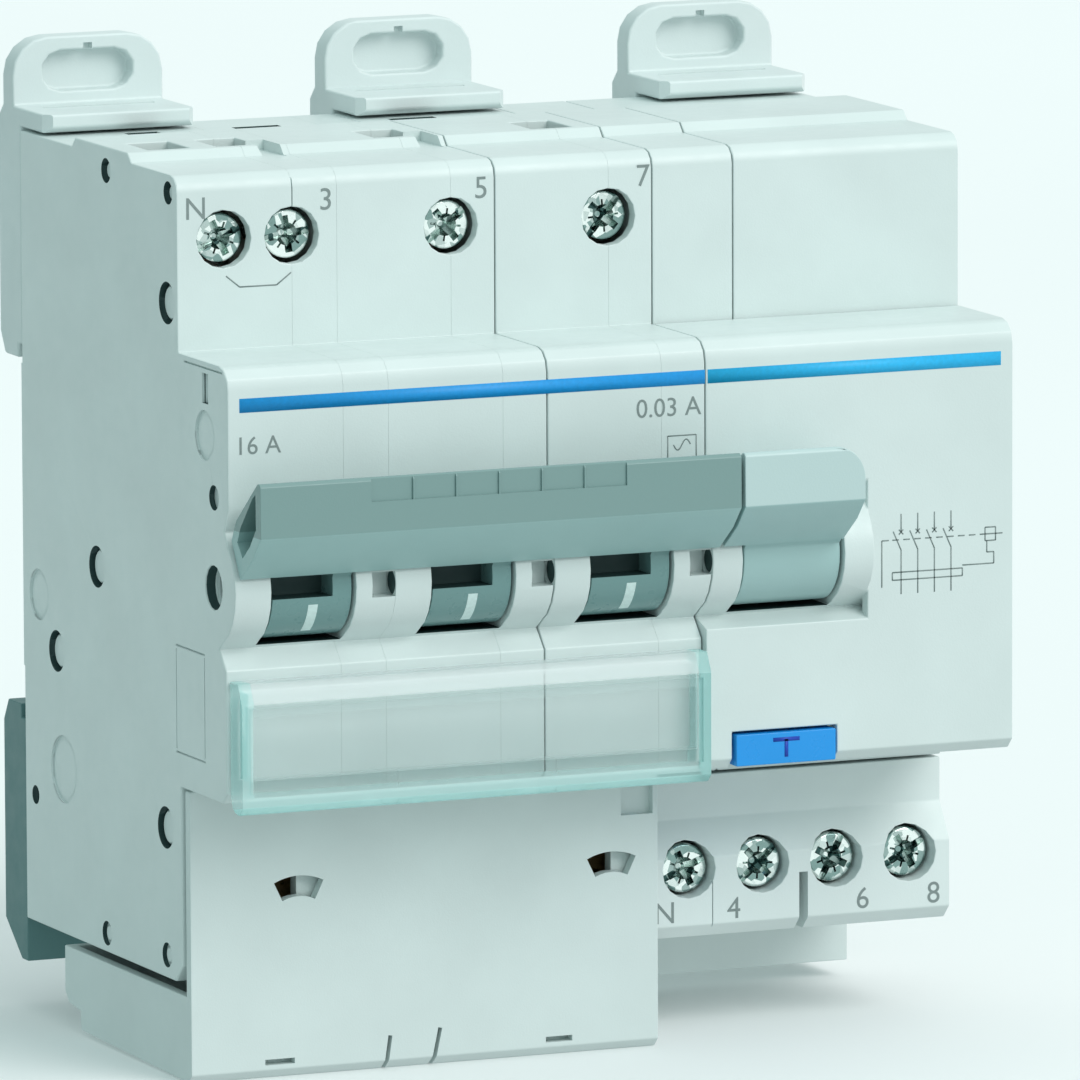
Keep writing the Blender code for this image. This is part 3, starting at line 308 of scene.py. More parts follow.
def smooth(obj):
    """Shades the round parts smooth and keeps the flat ones flat."""
    obj.data.shade_smooth()
    obj.data.set_sharp_from_angle(angle=math.radians(SMOOTH_ANGLE))
    normals = obj.modifiers.new("normals", "WEIGHTED_NORMAL")
    normals.keep_sharp = True


def crafted(name, bm, width=EDGE_SOFT, segments=2, joined=(), cuts=()):
    """A piece with softened edges, then its crisply cut details."""
    obj = linked(name, bm)
    soften(obj, width, segments, joined)
    if cuts:
        combined(obj, "DIFFERENCE", cuts)
    smooth(obj)
    return obj


def shade_faces(obj, surface, test):
    """Gives the faces that pass the test, by their centre and normal, a second material."""
    obj.data.materials.append(surface)
    for face in obj.data.polygons:
        if test(face.center, face.normal):
            face.material_index = len(obj.data.materials) - 1


def dress(obj, body, surface, replaces=()):
    """Gives a piece its material and the body that it moves with."""
    obj.data.materials.clear()
    obj.data.materials.append(surface)
    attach(obj, body)
    if replaces:
        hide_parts(*replaces)
    return obj


# ---------------------------------------------------------------- materials


def shader_tree(name):
    made = bpy.data.materials.new(name)
    made.use_nodes = True
    tree = made.node_tree
    return made, tree, tree.nodes["Principled BSDF"]


def object_point(tree):
    return tree.nodes.new("ShaderNodeTexCoord").outputs["Object"]


def noise(tree, scale, detail=3.0):
    node = tree.nodes.new("ShaderNodeTexNoise")
    node.inputs["Scale"].default_value = scale
    node.inputs["Detail"].default_value = detail
    tree.links.new(object_point(tree), node.inputs["Vector"])
    return node.outputs["Fac"]


def spread(tree, source, low, high):
    """Maps a texture's middle range onto low to high."""
    node = tree.nodes.new("ShaderNodeMapRange")
    node.inputs["From Min"].default_value = 0.3
    node.inputs["From Max"].default_value = 0.7
    node.inputs["To Min"].default_value = low
    node.inputs["To Max"].default_value = high
    tree.links.new(source, node.inputs["Value"])
    return node.outputs["Result"]


def blend(tree, factor, first, second):
    node = tree.nodes.new("ShaderNodeMix")
    node.data_type = "RGBA"
    node.inputs[6].default_value = (*first, 1.0)
    node.inputs[7].default_value = (*second, 1.0)
    tree.links.new(factor, node.inputs["Factor"])
    return node.outputs[2]


def bumped(tree, shader, sources):
    """Chains bumps of (height, distance in metres, strength)."""
    normal = None
    for height, distance, strength in sources:
        node = tree.nodes.new("ShaderNodeBump")
        node.inputs["Distance"].default_value = distance
        node.inputs["Strength"].default_value = strength
        tree.links.new(height, node.inputs["Height"])
        if normal is not None:
            tree.links.new(normal, node.inputs["Normal"])
        normal = node.outputs["Normal"]
    tree.links.new(normal, shader.inputs["Normal"])


def tone(colour, factor):
    return tuple(min(1.0, channel * factor) for channel in colour)


def plastic(name, colour, roughness=0.42, grain=0.5, variation=0.03):
    """Moulded plastic: a fine spark-eroded grain, a slow change of tone, and uneven gloss."""
    made, tree, shader = shader_tree(name)
    cloud = spread(tree, noise(tree, 90.0), 0.0, 1.0)
    base = blend(tree, cloud, tone(colour, 1.0 - variation), tone(colour, 1.0 + variation))
    tree.links.new(base, shader.inputs["Base Color"])
    gloss = spread(tree, noise(tree, 700.0), roughness - 0.05, roughness + 0.06)
    tree.links.new(gloss, shader.inputs["Roughness"])
    shader.inputs["IOR"].default_value = 1.47
    bumped(
        tree,
        shader,
        [
            (noise(tree, 5200.0, 2.0), 0.02 * MM, grain),
            (noise(tree, 260.0, 1.0), 0.03 * MM, grain / 4),
        ],
    )
    return made


def metal(name, bright, dull, roughness=0.28, scratch=0.35):
    """Plated or bare metal: patches of tone and fine scratches across its surface."""
    made, tree, shader = shader_tree(name)
    patches = spread(tree, noise(tree, 520.0, 4.0), 0.0, 1.0)
    tree.links.new(blend(tree, patches, dull, bright), shader.inputs["Base Color"])
    gloss = spread(tree, noise(tree, 1500.0, 4.0), roughness - 0.08, roughness + 0.12)
    tree.links.new(gloss, shader.inputs["Roughness"])
    shader.inputs["Metallic"].default_value = 1.0
    bumped(tree, shader, [(noise(tree, 3800.0, 3.0), 0.02 * MM, scratch)])
    return made


def crystals_with_painted_glints(name, bright, dull, roughness):
    """Zinc plating: sharply bounded crystals under fine scratches, each crystal with its own tone from
    dull to bright, which also paints in the glints and dark reflections of the plated facets.
    """
    made, tree, shader = shader_tree(name)
    cells = tree.nodes.new("ShaderNodeTexVoronoi")
    cells.inputs["Scale"].default_value = 1150.0
    tree.links.new(object_point(tree), cells.inputs["Vector"])
    tint = tree.nodes.new("ShaderNodeSeparateColor")
    tree.links.new(cells.outputs["Color"], tint.inputs["Color"])
    tone_of_cell = spread(tree, tint.outputs["Red"], 0.0, 1.0)
    tree.links.new(blend(tree, tone_of_cell, dull, bright), shader.inputs["Base Color"])
    gloss = spread(tree, noise(tree, 1500.0, 4.0), roughness - 0.06, roughness + 0.12)
    tree.links.new(gloss, shader.inputs["Roughness"])
    shader.inputs["Metallic"].default_value = 1.0
    bumped(
        tree,
        shader,
        [(cells.outputs["Distance"], 0.05 * MM, 0.35), (noise(tree, 3800.0, 3.0), 0.02 * MM, 0.25)],
    )
    return made


def other_colour_above(name, colour, upper, height):
    """Moulded plastic with another colour above a height."""
    made, tree, shader = shader_tree(name)
    parts = tree.nodes.new("ShaderNodeSeparateXYZ")
    tree.links.new(object_point(tree), parts.inputs["Vector"])
    above = step_mask(tree, parts.outputs["Z"], height, 0.06 * MM)
    cloud = spread(tree, noise(tree, 90.0), 0.0, 1.0)
    base = blend(tree, cloud, tone(colour, 0.97), tone(colour, 1.03))
    tree.links.new(mixed(tree, above, base, upper), shader.inputs["Base Color"])
    gloss = spread(tree, noise(tree, 700.0), 0.31, 0.42)
    tree.links.new(gloss, shader.inputs["Roughness"])
    bumped(tree, shader, [(noise(tree, 5200.0, 2.0), 0.02 * MM, 0.5)])
    return made


def printed(name, colour):
    """Pad-printed ink: thin cover that lets the plastic's grain through."""
    made, tree, shader = shader_tree(name)
    cover = spread(tree, noise(tree, 2400.0), 0.0, 1.0)
    tree.links.new(blend(tree, cover, colour, tone(colour, 1.12)), shader.inputs["Base Color"])
    shader.inputs["Roughness"].default_value = 0.5
    bumped(tree, shader, [(noise(tree, 5200.0, 2.0), 0.01 * MM, 0.3)])
    return made


def step_mask(tree, value, edge, width):
    """0 below edge and 1 above it, soft over width."""
    node = tree.nodes.new("ShaderNodeMapRange")
    node.interpolation_type = "SMOOTHSTEP"
    node.inputs["From Min"].default_value = edge - width
    node.inputs["From Max"].default_value = edge + width
    tree.links.new(value, node.inputs["Value"])
    return node.outputs["Result"]


def larger(tree, first, second):
    node = tree.nodes.new("ShaderNodeMath")
    node.operation = "MAXIMUM"
    tree.links.new(first, node.inputs[0])
    tree.links.new(second, node.inputs[1])
    return node.outputs["Value"]


def turned_over(tree, value):
    node = tree.nodes.new("ShaderNodeMath")
    node.operation = "SUBTRACT"
    node.inputs[0].default_value = 1.0
    tree.links.new(value, node.inputs[1])
    return node.outputs["Value"]


def clear_plastic(name, low, high, wall):
    """Clear cover: nearly colourless in front, green along its walls, with a painted highlight on its
    bevelled top and a painted shadow in the band just under it.
    """
    made, tree, shader = shader_tree(name)
    parts = tree.nodes.new("ShaderNodeSeparateXYZ")
    tree.links.new(object_point(tree), parts.inputs["Vector"])
    soft = wall * 0.1
    left = turned_over(tree, step_mask(tree, parts.outputs["X"], low.x + wall, soft))
    right = step_mask(tree, parts.outputs["X"], high.x - wall, soft)
    foot = turned_over(tree, step_mask(tree, parts.outputs["Z"], low.z + wall * 1.4, soft))
    walls = larger(tree, larger(tree, left, right), foot)
    # Painted highlight: the bevelled top is pale and more opaque, where it would catch the light from
    # above.
    bevel = step_mask(tree, parts.outputs["Z"], high.z - BEVEL_DROP, soft)
    # Painted shadow: the band just under the bevel is darker, where the top wall's shadow falls.
    under = step_mask(tree, parts.outputs["Z"], high.z - BEVEL_DROP - wall, soft)
    plain = blend(tree, under, (0.92, 0.99, 0.985), (0.72, 0.84, 0.83))
    with_painted_highlight = mixed(tree, bevel, plain, (0.95, 1.0, 1.0))
    tree.links.new(mixed(tree, walls, with_painted_highlight, (0.62, 0.92, 0.90)), shader.inputs["Base Color"])
    cover = larger(tree, spread(tree, walls, 0.06, 0.34), spread(tree, under, 0.06, 0.16))
    cover = larger(tree, cover, spread(tree, bevel, 0.06, 0.3))
    facing = tree.nodes.new("ShaderNodeLayerWeight")
    facing.inputs["Blend"].default_value = 0.3
    tree.links.new(larger(tree, cover, facing.outputs["Fresnel"]), shader.inputs["Alpha"])
    gloss = spread(tree, noise(tree, 800.0), 0.03, 0.09)
    tree.links.new(gloss, shader.inputs["Roughness"])
    shader.inputs["IOR"].default_value = 1.5
    bumped(tree, shader, [(noise(tree, 150.0, 1.0), 0.03 * MM, 0.2)])
    return made


def mixed(tree, factor, first, second):
    """blend, with a linked colour first."""
    node = tree.nodes.new("ShaderNodeMix")
    node.data_type = "RGBA"
    node.inputs[7].default_value = (*second, 1.0)
    tree.links.new(first, node.inputs[6])
    tree.links.new(factor, node.inputs["Factor"])
    return node.outputs[2]


WHITE = plastic("case_white", (0.67, 0.745, 0.735), 0.38)
# Painted light: the terminal block is lighter than the case, to make up for the shade that the nose
# above casts on it.
BLOCK_PAINTED_LIGHT = plastic("block_painted_light", (0.72, 0.79, 0.78), 0.44)
COVER_WHITE = plastic("cover_white", (0.65, 0.725, 0.715), 0.4)
# Painted shade and light: above the crease the bar gets a darker copy of the grey below it, for how the
# light falls on its front band and its downward band.
BAR_PAINTED_SHADE = other_colour_above("bar_painted_shade", (0.34, 0.52, 0.51), (0.20, 0.315, 0.305), 6.0 * MM)
DRUM_GREY = plastic("drum_grey", (0.165, 0.30, 0.295), 0.3)
RCD_GREY = other_colour_above("rcd_grey", (0.36, 0.53, 0.525), (0.50, 0.63, 0.625), 6.05 * MM)
BUTTON_BLUE = plastic("button_plastic", (0.012, 0.30, 0.78), 0.3, 0.3)
EAR_LIGHT = plastic("ear_light", (0.68, 0.75, 0.745), 0.45)
CLIP_DARK = plastic("clip_dark_plastic", (0.10, 0.21, 0.21), 0.5)
RELAY_BLACK = plastic("relay_plastic", (0.03, 0.033, 0.038), 0.5)
CORE = plastic("ferrite_core", (0.022, 0.024, 0.026), 0.6, 1.0, 0.12)
BOARD = plastic("board_laminate", (0.02, 0.14, 0.06), 0.35, 0.4, 0.08)
# The zinc's bright and dull crystals are partly its plating and partly painted glints and reflections.
ZINC = crystals_with_painted_glints("zinc_plating", (0.90, 0.95, 0.92), (0.24, 0.35, 0.33), 0.18)
# Painted shade: a darker copy of the zinc for the faces deep in the screws' recesses.
ZINC_PAINTED_SHADE = crystals_with_painted_glints("zinc_painted_shade", (0.55, 0.66, 0.62), (0.05, 0.10, 0.095), 0.22)
# Painted shade: a near-black colour for the walls of hollows, wells and slots and for the link pins,
# where little light reaches.
SHADOW = plastic("deep_shade", (0.018, 0.05, 0.05), 0.6, 0.3, 0.1)
CAGE_METAL = metal("cage_plating", (0.62, 0.64, 0.60), (0.40, 0.42, 0.38), 0.34)
STEEL = metal("ground_steel", (0.62, 0.64, 0.65), (0.44, 0.46, 0.47), 0.3)
COPPER = metal("bare_copper", (0.84, 0.46, 0.29), (0.60, 0.30, 0.18), 0.34)
BRONZE = metal("spring_bronze", (0.76, 0.55, 0.30), (0.55, 0.38, 0.20), 0.34)
INK_GREY = printed("ink_grey", (0.20, 0.245, 0.24))
INK_PALE = printed("ink_pale", (0.62, 0.76, 0.74))
INK_BLUE = printed("ink_blue", (0.004, 0.28, 0.68))
INK_SKY = printed("ink_sky", (0.012, 0.42, 0.77))
INK_NAVY = printed("ink_navy", (0.006, 0.05, 0.42))


# ---------------------------------------------------------------- printed marks


def strip(a, b, width):
    """The corners of a straight line of some width between two points."""
    run = Vector((b[0] - a[0], b[1] - a[1]))
    side = Vector((-run.y, run.x)).normalized() * width / 2
    return [(a[0] + s * side.x, a[1] + s * side.y) for s in (1, -1)] + [
        (b[0] + s * side.x, b[1] + s * side.y) for s in (-1, 1)
    ]


def line_work(lines, depth, width):
    """Printed lines on a front face. Each line is a list of (x, z) points."""
    bm = bmesh.new()
    for points in lines:
        for a, b in zip(points, points[1:]):
            corners = strip(a, b, width)
            rings = [
                [bm.verts.new(place("Y", x, z, at)) for x, z in corners]
                for at in (depth, depth + INK)
            ]
            bm.faces.new(rings[0])
            bm.faces.new(rings[1])
            for i in range(4):
                j = (i + 1) % 4
                bm.faces.new((rings[0][i], rings[0][j], rings[1][j], rings[1][i]))
    bmesh.ops.recalc_face_normals(bm, faces=bm.faces)
    return bm


def lettered(name, text, centre, depth, height):
    """A short grey mark on a front face of the case, its middle at centre (x, z)."""
    curve = bpy.data.curves.new(name, "FONT")
    curve.body = text
    curve.size = height * 1.38
    curve.align_x = "CENTER"
    curve.align_y = "CENTER"
    curve.extrude = INK / 2
    curve.resolution_u = 4
    writing = bpy.data.objects.new(name, curve)
    bpy.context.scene.collection.objects.link(writing)
    graph = bpy.context.evaluated_depsgraph_get()
    mesh = bpy.data.meshes.new_from_object(writing.evaluated_get(graph))
    bpy.data.objects.remove(writing)
    bpy.data.curves.remove(curve)
    upright = Matrix.Rotation(math.radians(90), 4, "X")
    mesh.transform(Matrix.Translation((centre[0], -depth - INK / 2, centre[1])) @ upright)
    obj = bpy.data.objects.new(name, mesh)
    bpy.context.scene.collection.objects.link(obj)
    dress(obj, "housing", INK_GREY)


def mark_terminals():
    for text, x in (("N", 2.1), ("3", 16.5), ("5", 33.8), ("7", 52.0)):
        z = 37.1 * MM + (x - 2.1) * 0.016 * MM
        centre = (LEFT + x * MM, z)
        lettered(f"mark_line_{text}", text, centre, TERMINAL_DEPTH, LETTER)
    for text, x in (("N", 55.2), ("4", 63.1), ("6", 77.9), ("8", 86.1)):
        centre = (LEFT + x * MM, -40.1 * MM)
        lettered(f"mark_load_{text}", text, centre, BLOCK_DEPTH, LETTER)
    corners = ((5.4, 30.1), (6.9, 28.9), (11.0, 28.9), (12.6, 30.1))
    line = [(LEFT + x * MM, z * MM) for x, z in corners]
    bracket = line_work([line], TERMINAL_DEPTH, 0.14 * MM)
    dress(linked("mark_bracket", bracket), "housing", INK_GREY)


def mark_nose():
    """The blue stripes, the rated values, the sine sign and a plain circuit diagram."""
    spans = {
        "stripe_poles": (1.3, 53.0, INK_BLUE),
        "stripe_block": (53.3, 86.6, INK_SKY),
    }
    for name, (x0, x1, ink) in spans.items():
        shape = block(
            LEFT + x0 * MM, LEFT + x1 * MM, NOSE_DEPTH, NOSE_DEPTH + INK, STRIPE_LOW, STRIPE_HIGH
        )
        dress(linked(name, shape), "housing", ink)
    rating = (LEFT + 3.3 * MM, 14.4 * MM)
    lettered("mark_rating", "16 A", rating, NOSE_DEPTH, 1.9 * MM)
    trip = (LEFT + 48.9 * MM, 15.6 * MM)
    lettered("mark_trip", "0.03 A", trip, NOSE_DEPTH, 2.0 * MM)
    x0, x1 = LEFT + 48.8 * MM, LEFT + 52.0 * MM
    z0, z1 = 9.6 * MM, 12.7 * MM
    frame_line = [(x0, z0), (x0, z1), (x1, z1), (x1, z0), (x0, z0)]
    middle_x, middle_z = (x0 + x1) / 2, 11.75 * MM
    wave = [
        (middle_x + t * 0.95 * MM, middle_z + math.sin(t * math.pi) * 0.55 * MM)
        for t in [i / 8 - 1 for i in range(17)]
    ]
    sine = line_work([frame_line, wave], NOSE_DEPTH, LINE)
    dress(linked("mark_sine", sine), "housing", INK_GREY)
    diagram = line_work(circuit_lines(LEFT + 73.6 * MM, -5.4 * MM), NOSE_DEPTH, LINE)
    dress(linked("mark_diagram", diagram), "housing", INK_GREY)


def circuit_lines(x, z):
    """A four-pole switch, the transformer's ring and a test loop, drawn from the corner (x, z)."""
    def at(*points):
        return [(x + a * MM, z + b * MM) for a, b in points]

    lines = []
    for pole in range(4):
        px = 1.6 + 1.9 * pole
        lines.append(at((px, 0.0), (px, 4.6), (px - 0.9, 6.6)))
        lines.append(at((px, 6.5), (px, 8.4)))
        lines.append(at((px - 0.25, 6.25), (px + 0.25, 6.75)))
        lines.append(at((px - 0.25, 6.75), (px + 0.25, 6.25)))
    for dash in range(8):
        start = 0.6 + dash * 1.25
        lines.append(at((start, 5.7), (start + 0.75, 5.7)))
    lines.append(at((0.6, 1.5), (8.6, 1.5), (8.6, 2.3), (0.6, 2.3), (0.6, 1.5)))
    lines.append(at((-0.6, 0.8), (-0.6, 5.7), (0.2, 5.7)))
    lines.append(at((11.2, 5.0), (12.4, 5.0), (12.4, 6.4), (11.2, 6.4), (11.2, 5.0)))
    lines.append(at((10.6, 5.7), (13.2, 5.7)))
    lines.append(at((11.4, 5.0), (11.4, 3.8), (12.2, 3.8), (12.2, 2.6), (8.6, 2.6)))
    return lines


# ---------------------------------------------------------------- case shells


def pole_left(index):
    return LEFT + index * MODULE


def left_side_details():
    """(shapes to cut, shapes to join) on the first pole's left side.

    Each hole is (depth, z, radius, how deep) in millimetres, and most have a rivet in them.
    """
    empty_hole_z = 8.8
    holes = (
        (24.6, 39.1, 1.3, 1.0),
        (41.7, 38.7, 1.2, 1.0),
        (41.2, 27.3, 2.2, 1.0),
        (21.2, -2.7, 2.2, 1.0),
        (9.6, -13.2, 2.2, 1.0),
        (39.8, -27.3, 2.2, 1.0),
        (3.2, -29.4, 1.0, 0.8),
        (23.2, -41.0, 1.3, 0.5),
        (39.9, -40.6, 1.3, 0.5),
        (51.2, 14.9, 2.6, 0.3),
        (53.6, empty_hole_z, 1.3, 0.6),
        (4.6, -7.9, 2.7, 0.3),
        (11.3, -25.5, 3.6, 0.3),
    )
    cuts = [
        rod("Z", (LEFT, 51.4 * MM), 0.8 * MM, 18.2 * MM, 21.3 * MM),
        block(LEFT - MM, LEFT + 0.3 * MM, 45.7 * MM, 56.0 * MM, 21.75 * MM, 21.95 * MM),
    ]
    joins = []
    for depth, z, radius, deep in holes:
        centre = (depth * MM, z * MM)
        cuts.append(rod("X", centre, radius * MM, LEFT - REACH, LEFT + deep * MM))
        inner = (radius - 0.4) * MM
        top = LEFT + 0.08 * MM + deep * 0.35 * MM
        if radius >= 1.2 and z != empty_hole_z:
            profile = [
                (inner, LEFT + (deep + 0.3) * MM),
                (inner, top + 0.15 * MM),
                (inner - 0.2 * MM, top),
            ]
            joins.append(turned("X", centre, profile))
    for edge in ring_outline((42.9, 50.8, -19.0, -7.7), 0.22):
        cuts.append(prism("X", edge, LEFT - REACH, LEFT + 0.25 * MM))
    return cuts, joins


def ring_outline(span, width):
    """Four thin bars round a rectangle (depth0, depth1, z0, z1) in millimetres."""
    d0, d1, z0, z1 = span
    bars = (
        (d0, d1, z0, z0 + width),
        (d0, d1, z1 - width, z1),
        (d0, d0 + width, z0 + width * 2, z1 - width * 2),
        (d1 - width, d1, z0 + width * 2, z1 - width * 2),
    )
    return [[(a * MM, b * MM) for a, b in box_outline(*bar)] for bar in bars]


def top_slot(x0, index):
    """The slot near the back of a module's top, with one corner cut off."""
    start = x0 + (3.4 if index else 9.0) * MM
    end = start + 5.2 * MM
    outline = [
        (start, TOP_SLOT_BACK),
        (end, TOP_SLOT_BACK),
        (end, 10.6 * MM),
        (start + 3.8 * MM, TOP_SLOT_FRONT),
        (start, TOP_SLOT_FRONT),
    ]
    return prism("Z", outline, TOP_SLOT_FLOOR, ABOVE_TOP + 2.0 * MM)


def make_left_shell(index, x0, split):
    """A pole's deep left shell. The first one has the rivets and seams of the device's left side."""
    node = f"pole_{index + 1}_case_left"
    end = split - HAIRLINE / 2
    side_cuts, side_joins = left_side_details() if index == 0 else ([], [])
    cuts = [top_slot(x0, index), *cover_pockets(x0, split)]
    if index:
        cuts.append(pin_hole(x0))
    shell = crafted(
        f"shell_{index + 1}_left",
        shape_of(node, [(split - CAD_SEAM / 2, end)]),
        joined=[end] + ([x0] if index == 1 else []),
        cuts=cuts + side_cuts,
    )
    if side_joins:
        combined(shell, "UNION", side_joins)
        smooth(shell)
    dress(shell, "housing", WHITE, [node])
    shade_faces(shell, SHADOW, in_shadow)


def make_right_shell(index, split, end):
    """A pole's shallow right shell, with the pocket that shows the link pin."""
    node = f"pole_{index + 1}_case_right"
    start = split + HAIRLINE / 2
    right_end = end - HAIRLINE if index == 0 else end - SEAM
    pocket_x = split + 2.4 * MM
    cuts = [
        block(pocket_x, end + REACH, POCKET_DEPTH, AXLE_DEPTH + 8.0 * MM, -1.7 * MM, 0.9 * MM)
    ]
    cuts += rib_notches(end - MODULE, index)
    if index == 0:
        groove = (TERMINAL_DEPTH - 0.4 * MM, TERMINAL_DEPTH + MM)
        cuts.append(block(split - MM, split + SEAM, *groove, 36.0 * MM, 45.0 * MM))
    shell = crafted(
        f"shell_{index + 1}_right",
        shape_of(node, [(split + CAD_SEAM / 2, start), (end - CAD_SEAM, right_end)]),
        joined=[start] + ([right_end] if index == 0 else []),
        cuts=cuts,
    )
    dress(shell, "housing", WHITE, [node])
    shade_faces(shell, SHADOW, in_shadow)
    # The link pin gets the painted shade's colour, which stands in for the dark of the pocket round it.
    pin = rod("X", PIN_PLACE, PIN_RADIUS, end + 0.25 * MM, end + 0.8 * MM)
    link = linked(f"link_pin_{index + 1}", pin)
    smooth(link)
    dress(link, "housing", SHADOW)


def make_pole_shells():
    """The poles' shells. The two of a pole, and the first two poles, meet without a visible step."""
    for index in range(POLES):
        x0 = pole_left(index)
        split = x0 + SPLIT
        make_left_shell(index, x0, split)
        make_right_shell(index, split, x0 + MODULE)


def in_shadow(centre, normal):
    """Faces that get the painted shade: the walls by the toggles' drums, those of the slots in the top,
    and of the holes in the side.
    """
    depth = -centre.y
    at_end = abs(abs(centre.z - AXLE_Z) - WELL_HALF) < 0.05 * MM and abs(normal.z) > 0.9
    by_drum = at_end and WELL_BACK < depth < WELL_FRONT
    near_slot = TOP_SLOT_BACK - 0.2 * MM < depth < TOP_SLOT_FRONT + 0.6 * MM
    in_slot = near_slot and TOP_SLOT_FLOOR - MM < centre.z < 41.4 * MM
    in_slot = in_slot and (abs(normal.z) < 0.1 or centre.z < TOP_SLOT_FLOOR + MM)
    in_side = LEFT + 0.2 * MM < centre.x < LEFT + 0.9 * MM and abs(normal.x) < 0.5
    return by_drum or in_slot or in_side


def pin_hole(x):
    """The blind hole in a module's left side, seen through its neighbour's pocket."""
    return rod("X", PIN_PLACE, PIN_HOLE_RADIUS, x - REACH, x + 0.9 * MM)


def cover_pockets(x0, x1):
    """Openings in the poles' lower face, which make the cover's arc slots look dark."""
    shapes = []
    for x in COVER_SLOTS_X:
        middle = LEFT + x * MM
        if x0 < middle < x1:
            across = (middle - 3.4 * MM, middle + 3.4 * MM)
            through = (TERMINAL_DEPTH - 2.2 * MM, TERMINAL_DEPTH + REACH)
            shapes.append(block(*across, *through, -35.6 * MM, -31.6 * MM))
    return shapes


def rib_notches(x0, index):
    """Where the rib across the top is cut away near a module's right edge."""
    if index == 2:
        return []
    low, high = x0 + 13.6 * MM, x0 + 17.0 * MM
    notch = [(low, 26.0 * MM), (high, 26.0 * MM), (high, 32.4 * MM), (low + 1.2 * MM, 32.4 * MM)]
    return [prism("Z", notch, RIB_TOP, ABOVE_TOP)]


def make_block_shells():
    seam = RCD_LEFT + 9.1 * MM
    planes = {
        "left": [(seam - CAD_SEAM / 2, seam - SEAM / 2)],
        "right": [(seam + CAD_SEAM / 2, seam + SEAM / 2)],
    }
    for side, ends in planes.items():
        node = f"rcd_case_{side}"
        shell = crafted(f"block_shell_{side}", shape_of(node, ends))
        dress(shell, "housing", WHITE, [node])


def make_front_cover():
    cover = crafted("front_cover", shape_of("rcd_front_cover"), cuts=[pin_hole(RCD_LEFT)])
    dress(cover, "housing", WHITE, ["rcd_front_cover"])
    shade_faces(cover, SHADOW, in_shadow)


def make_terminal_block():
    """The stepped block, with the notch and the seam between its terminals."""
    x = LEFT + 71.1 * MM
    front = BLOCK_DEPTH + REACH
    cuts = [
        block(x - 0.5 * MM, x + 0.5 * MM, 38.0 * MM, front, -45.0 * MM, -36.7 * MM),
        block(LEFT + 60.6 * MM, LEFT + 60.72 * MM, 41.5 * MM, front, -45.0 * MM, -34.6 * MM),
    ]
    shape = crafted("terminal_block", shape_of("rcd_terminal_block"), cuts=cuts)
    dress(shape, "housing", BLOCK_PAINTED_LIGHT, ["rcd_terminal_block"])


# ---------------------------------------------------------------- lower cover and label window


def make_lower_cover():
    """The cover over the lower terminals, with its arc slots, its clip and its drain slots."""
    front = COVER_DEPTH
    past = front + REACH
    cuts = []
    for x in COVER_SLOTS_X:
        sector = ring_sector((LEFT + x * MM, -38.6 * MM), 4.15 * MM, 6.3 * MM, 64, 116, 12)
        cuts.append(prism("Y", sector, front - REACH, past))
    for top, foot in (((22.5, -49.8), (21.8, -54.5)), ((28.1, -49.4), (27.0, -54.5))):
        slit = strip(
            (LEFT + top[0] * MM, top[1] * MM), (LEFT + foot[0] * MM, foot[1] * MM), 0.45 * MM
        )
        cuts.append(prism("Y", slit, front - 3.0 * MM, past))
    for x0, x1 in ((8.5, 11.8), (40.0, 43.0)):
        cuts.append(
            block(LEFT + x0 * MM, LEFT + x1 * MM, front - 1.5 * MM, past, -51.9 * MM, -51.3 * MM)
        )
    notch = (LEFT + 48.6 * MM, LEFT + 52.2 * MM)
    cuts.append(block(*notch, front - 0.9 * MM, past, -28.6 * MM, -25.4 * MM))
    shape = crafted("lower_cover", shape_of("lower_terminal_cover"), cuts=cuts)
    dress(shape, "housing", COVER_WHITE, ["lower_terminal_cover"])


def make_window():
    """The clear cover: a bevel along its top, a proud lip along its foot, and two small lugs."""
    low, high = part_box("label_window")
    front = -low.y
    glass = clear_plastic("clear_cover", low, high, WINDOW_WALL)
    band = high.z - BEVEL_DROP
    across = (low.x + 0.9 * MM, high.x - 0.9 * MM)
    panel = block(*across, front - 0.3 * MM, front + REACH, WINDOW_LIP, band - 0.4 * MM)
    back = front - 1.1 * MM
    past = front + MM
    above = high.z + MM
    outline = [(back, above), (back, high.z), (front, band), (past, band), (past, above)]
    bevel = prism("X", outline, low.x - REACH, high.x + REACH)
    lugs = []
    for x in WINDOW_LUGS_X:
        middle = LEFT + x * MM
        width = (middle - 0.9 * MM, middle + 0.9 * MM)
        thickness = (front - 0.9 * MM, front - 0.02 * MM)
        lugs.append(block(*width, *thickness, low.z + 0.3 * MM, -19.5 * MM))
    shape = crafted("window_glass", shape_of("label_window"), EDGE_CRISP, cuts=[panel, bevel])
    combined(shape, "UNION", lugs)
    smooth(shape)
    dress(shape, "label_window", glass, ["label_window"])


# ---------------------------------------------------------------- toggles


def grip_outline():
    """The section of the bar: a leaning triangle with a flat front above its crease."""
    front = ((6.2, 1.6), (9.7, 4.2), (11.8, 6.5), (11.75, 11.75), (11.4, 12.1), (10.9, 12.05))
    back = ((5.2, 7.6), (3.9, 5.4), (5.6, 2.6))
    return about_axle(*front, *back)


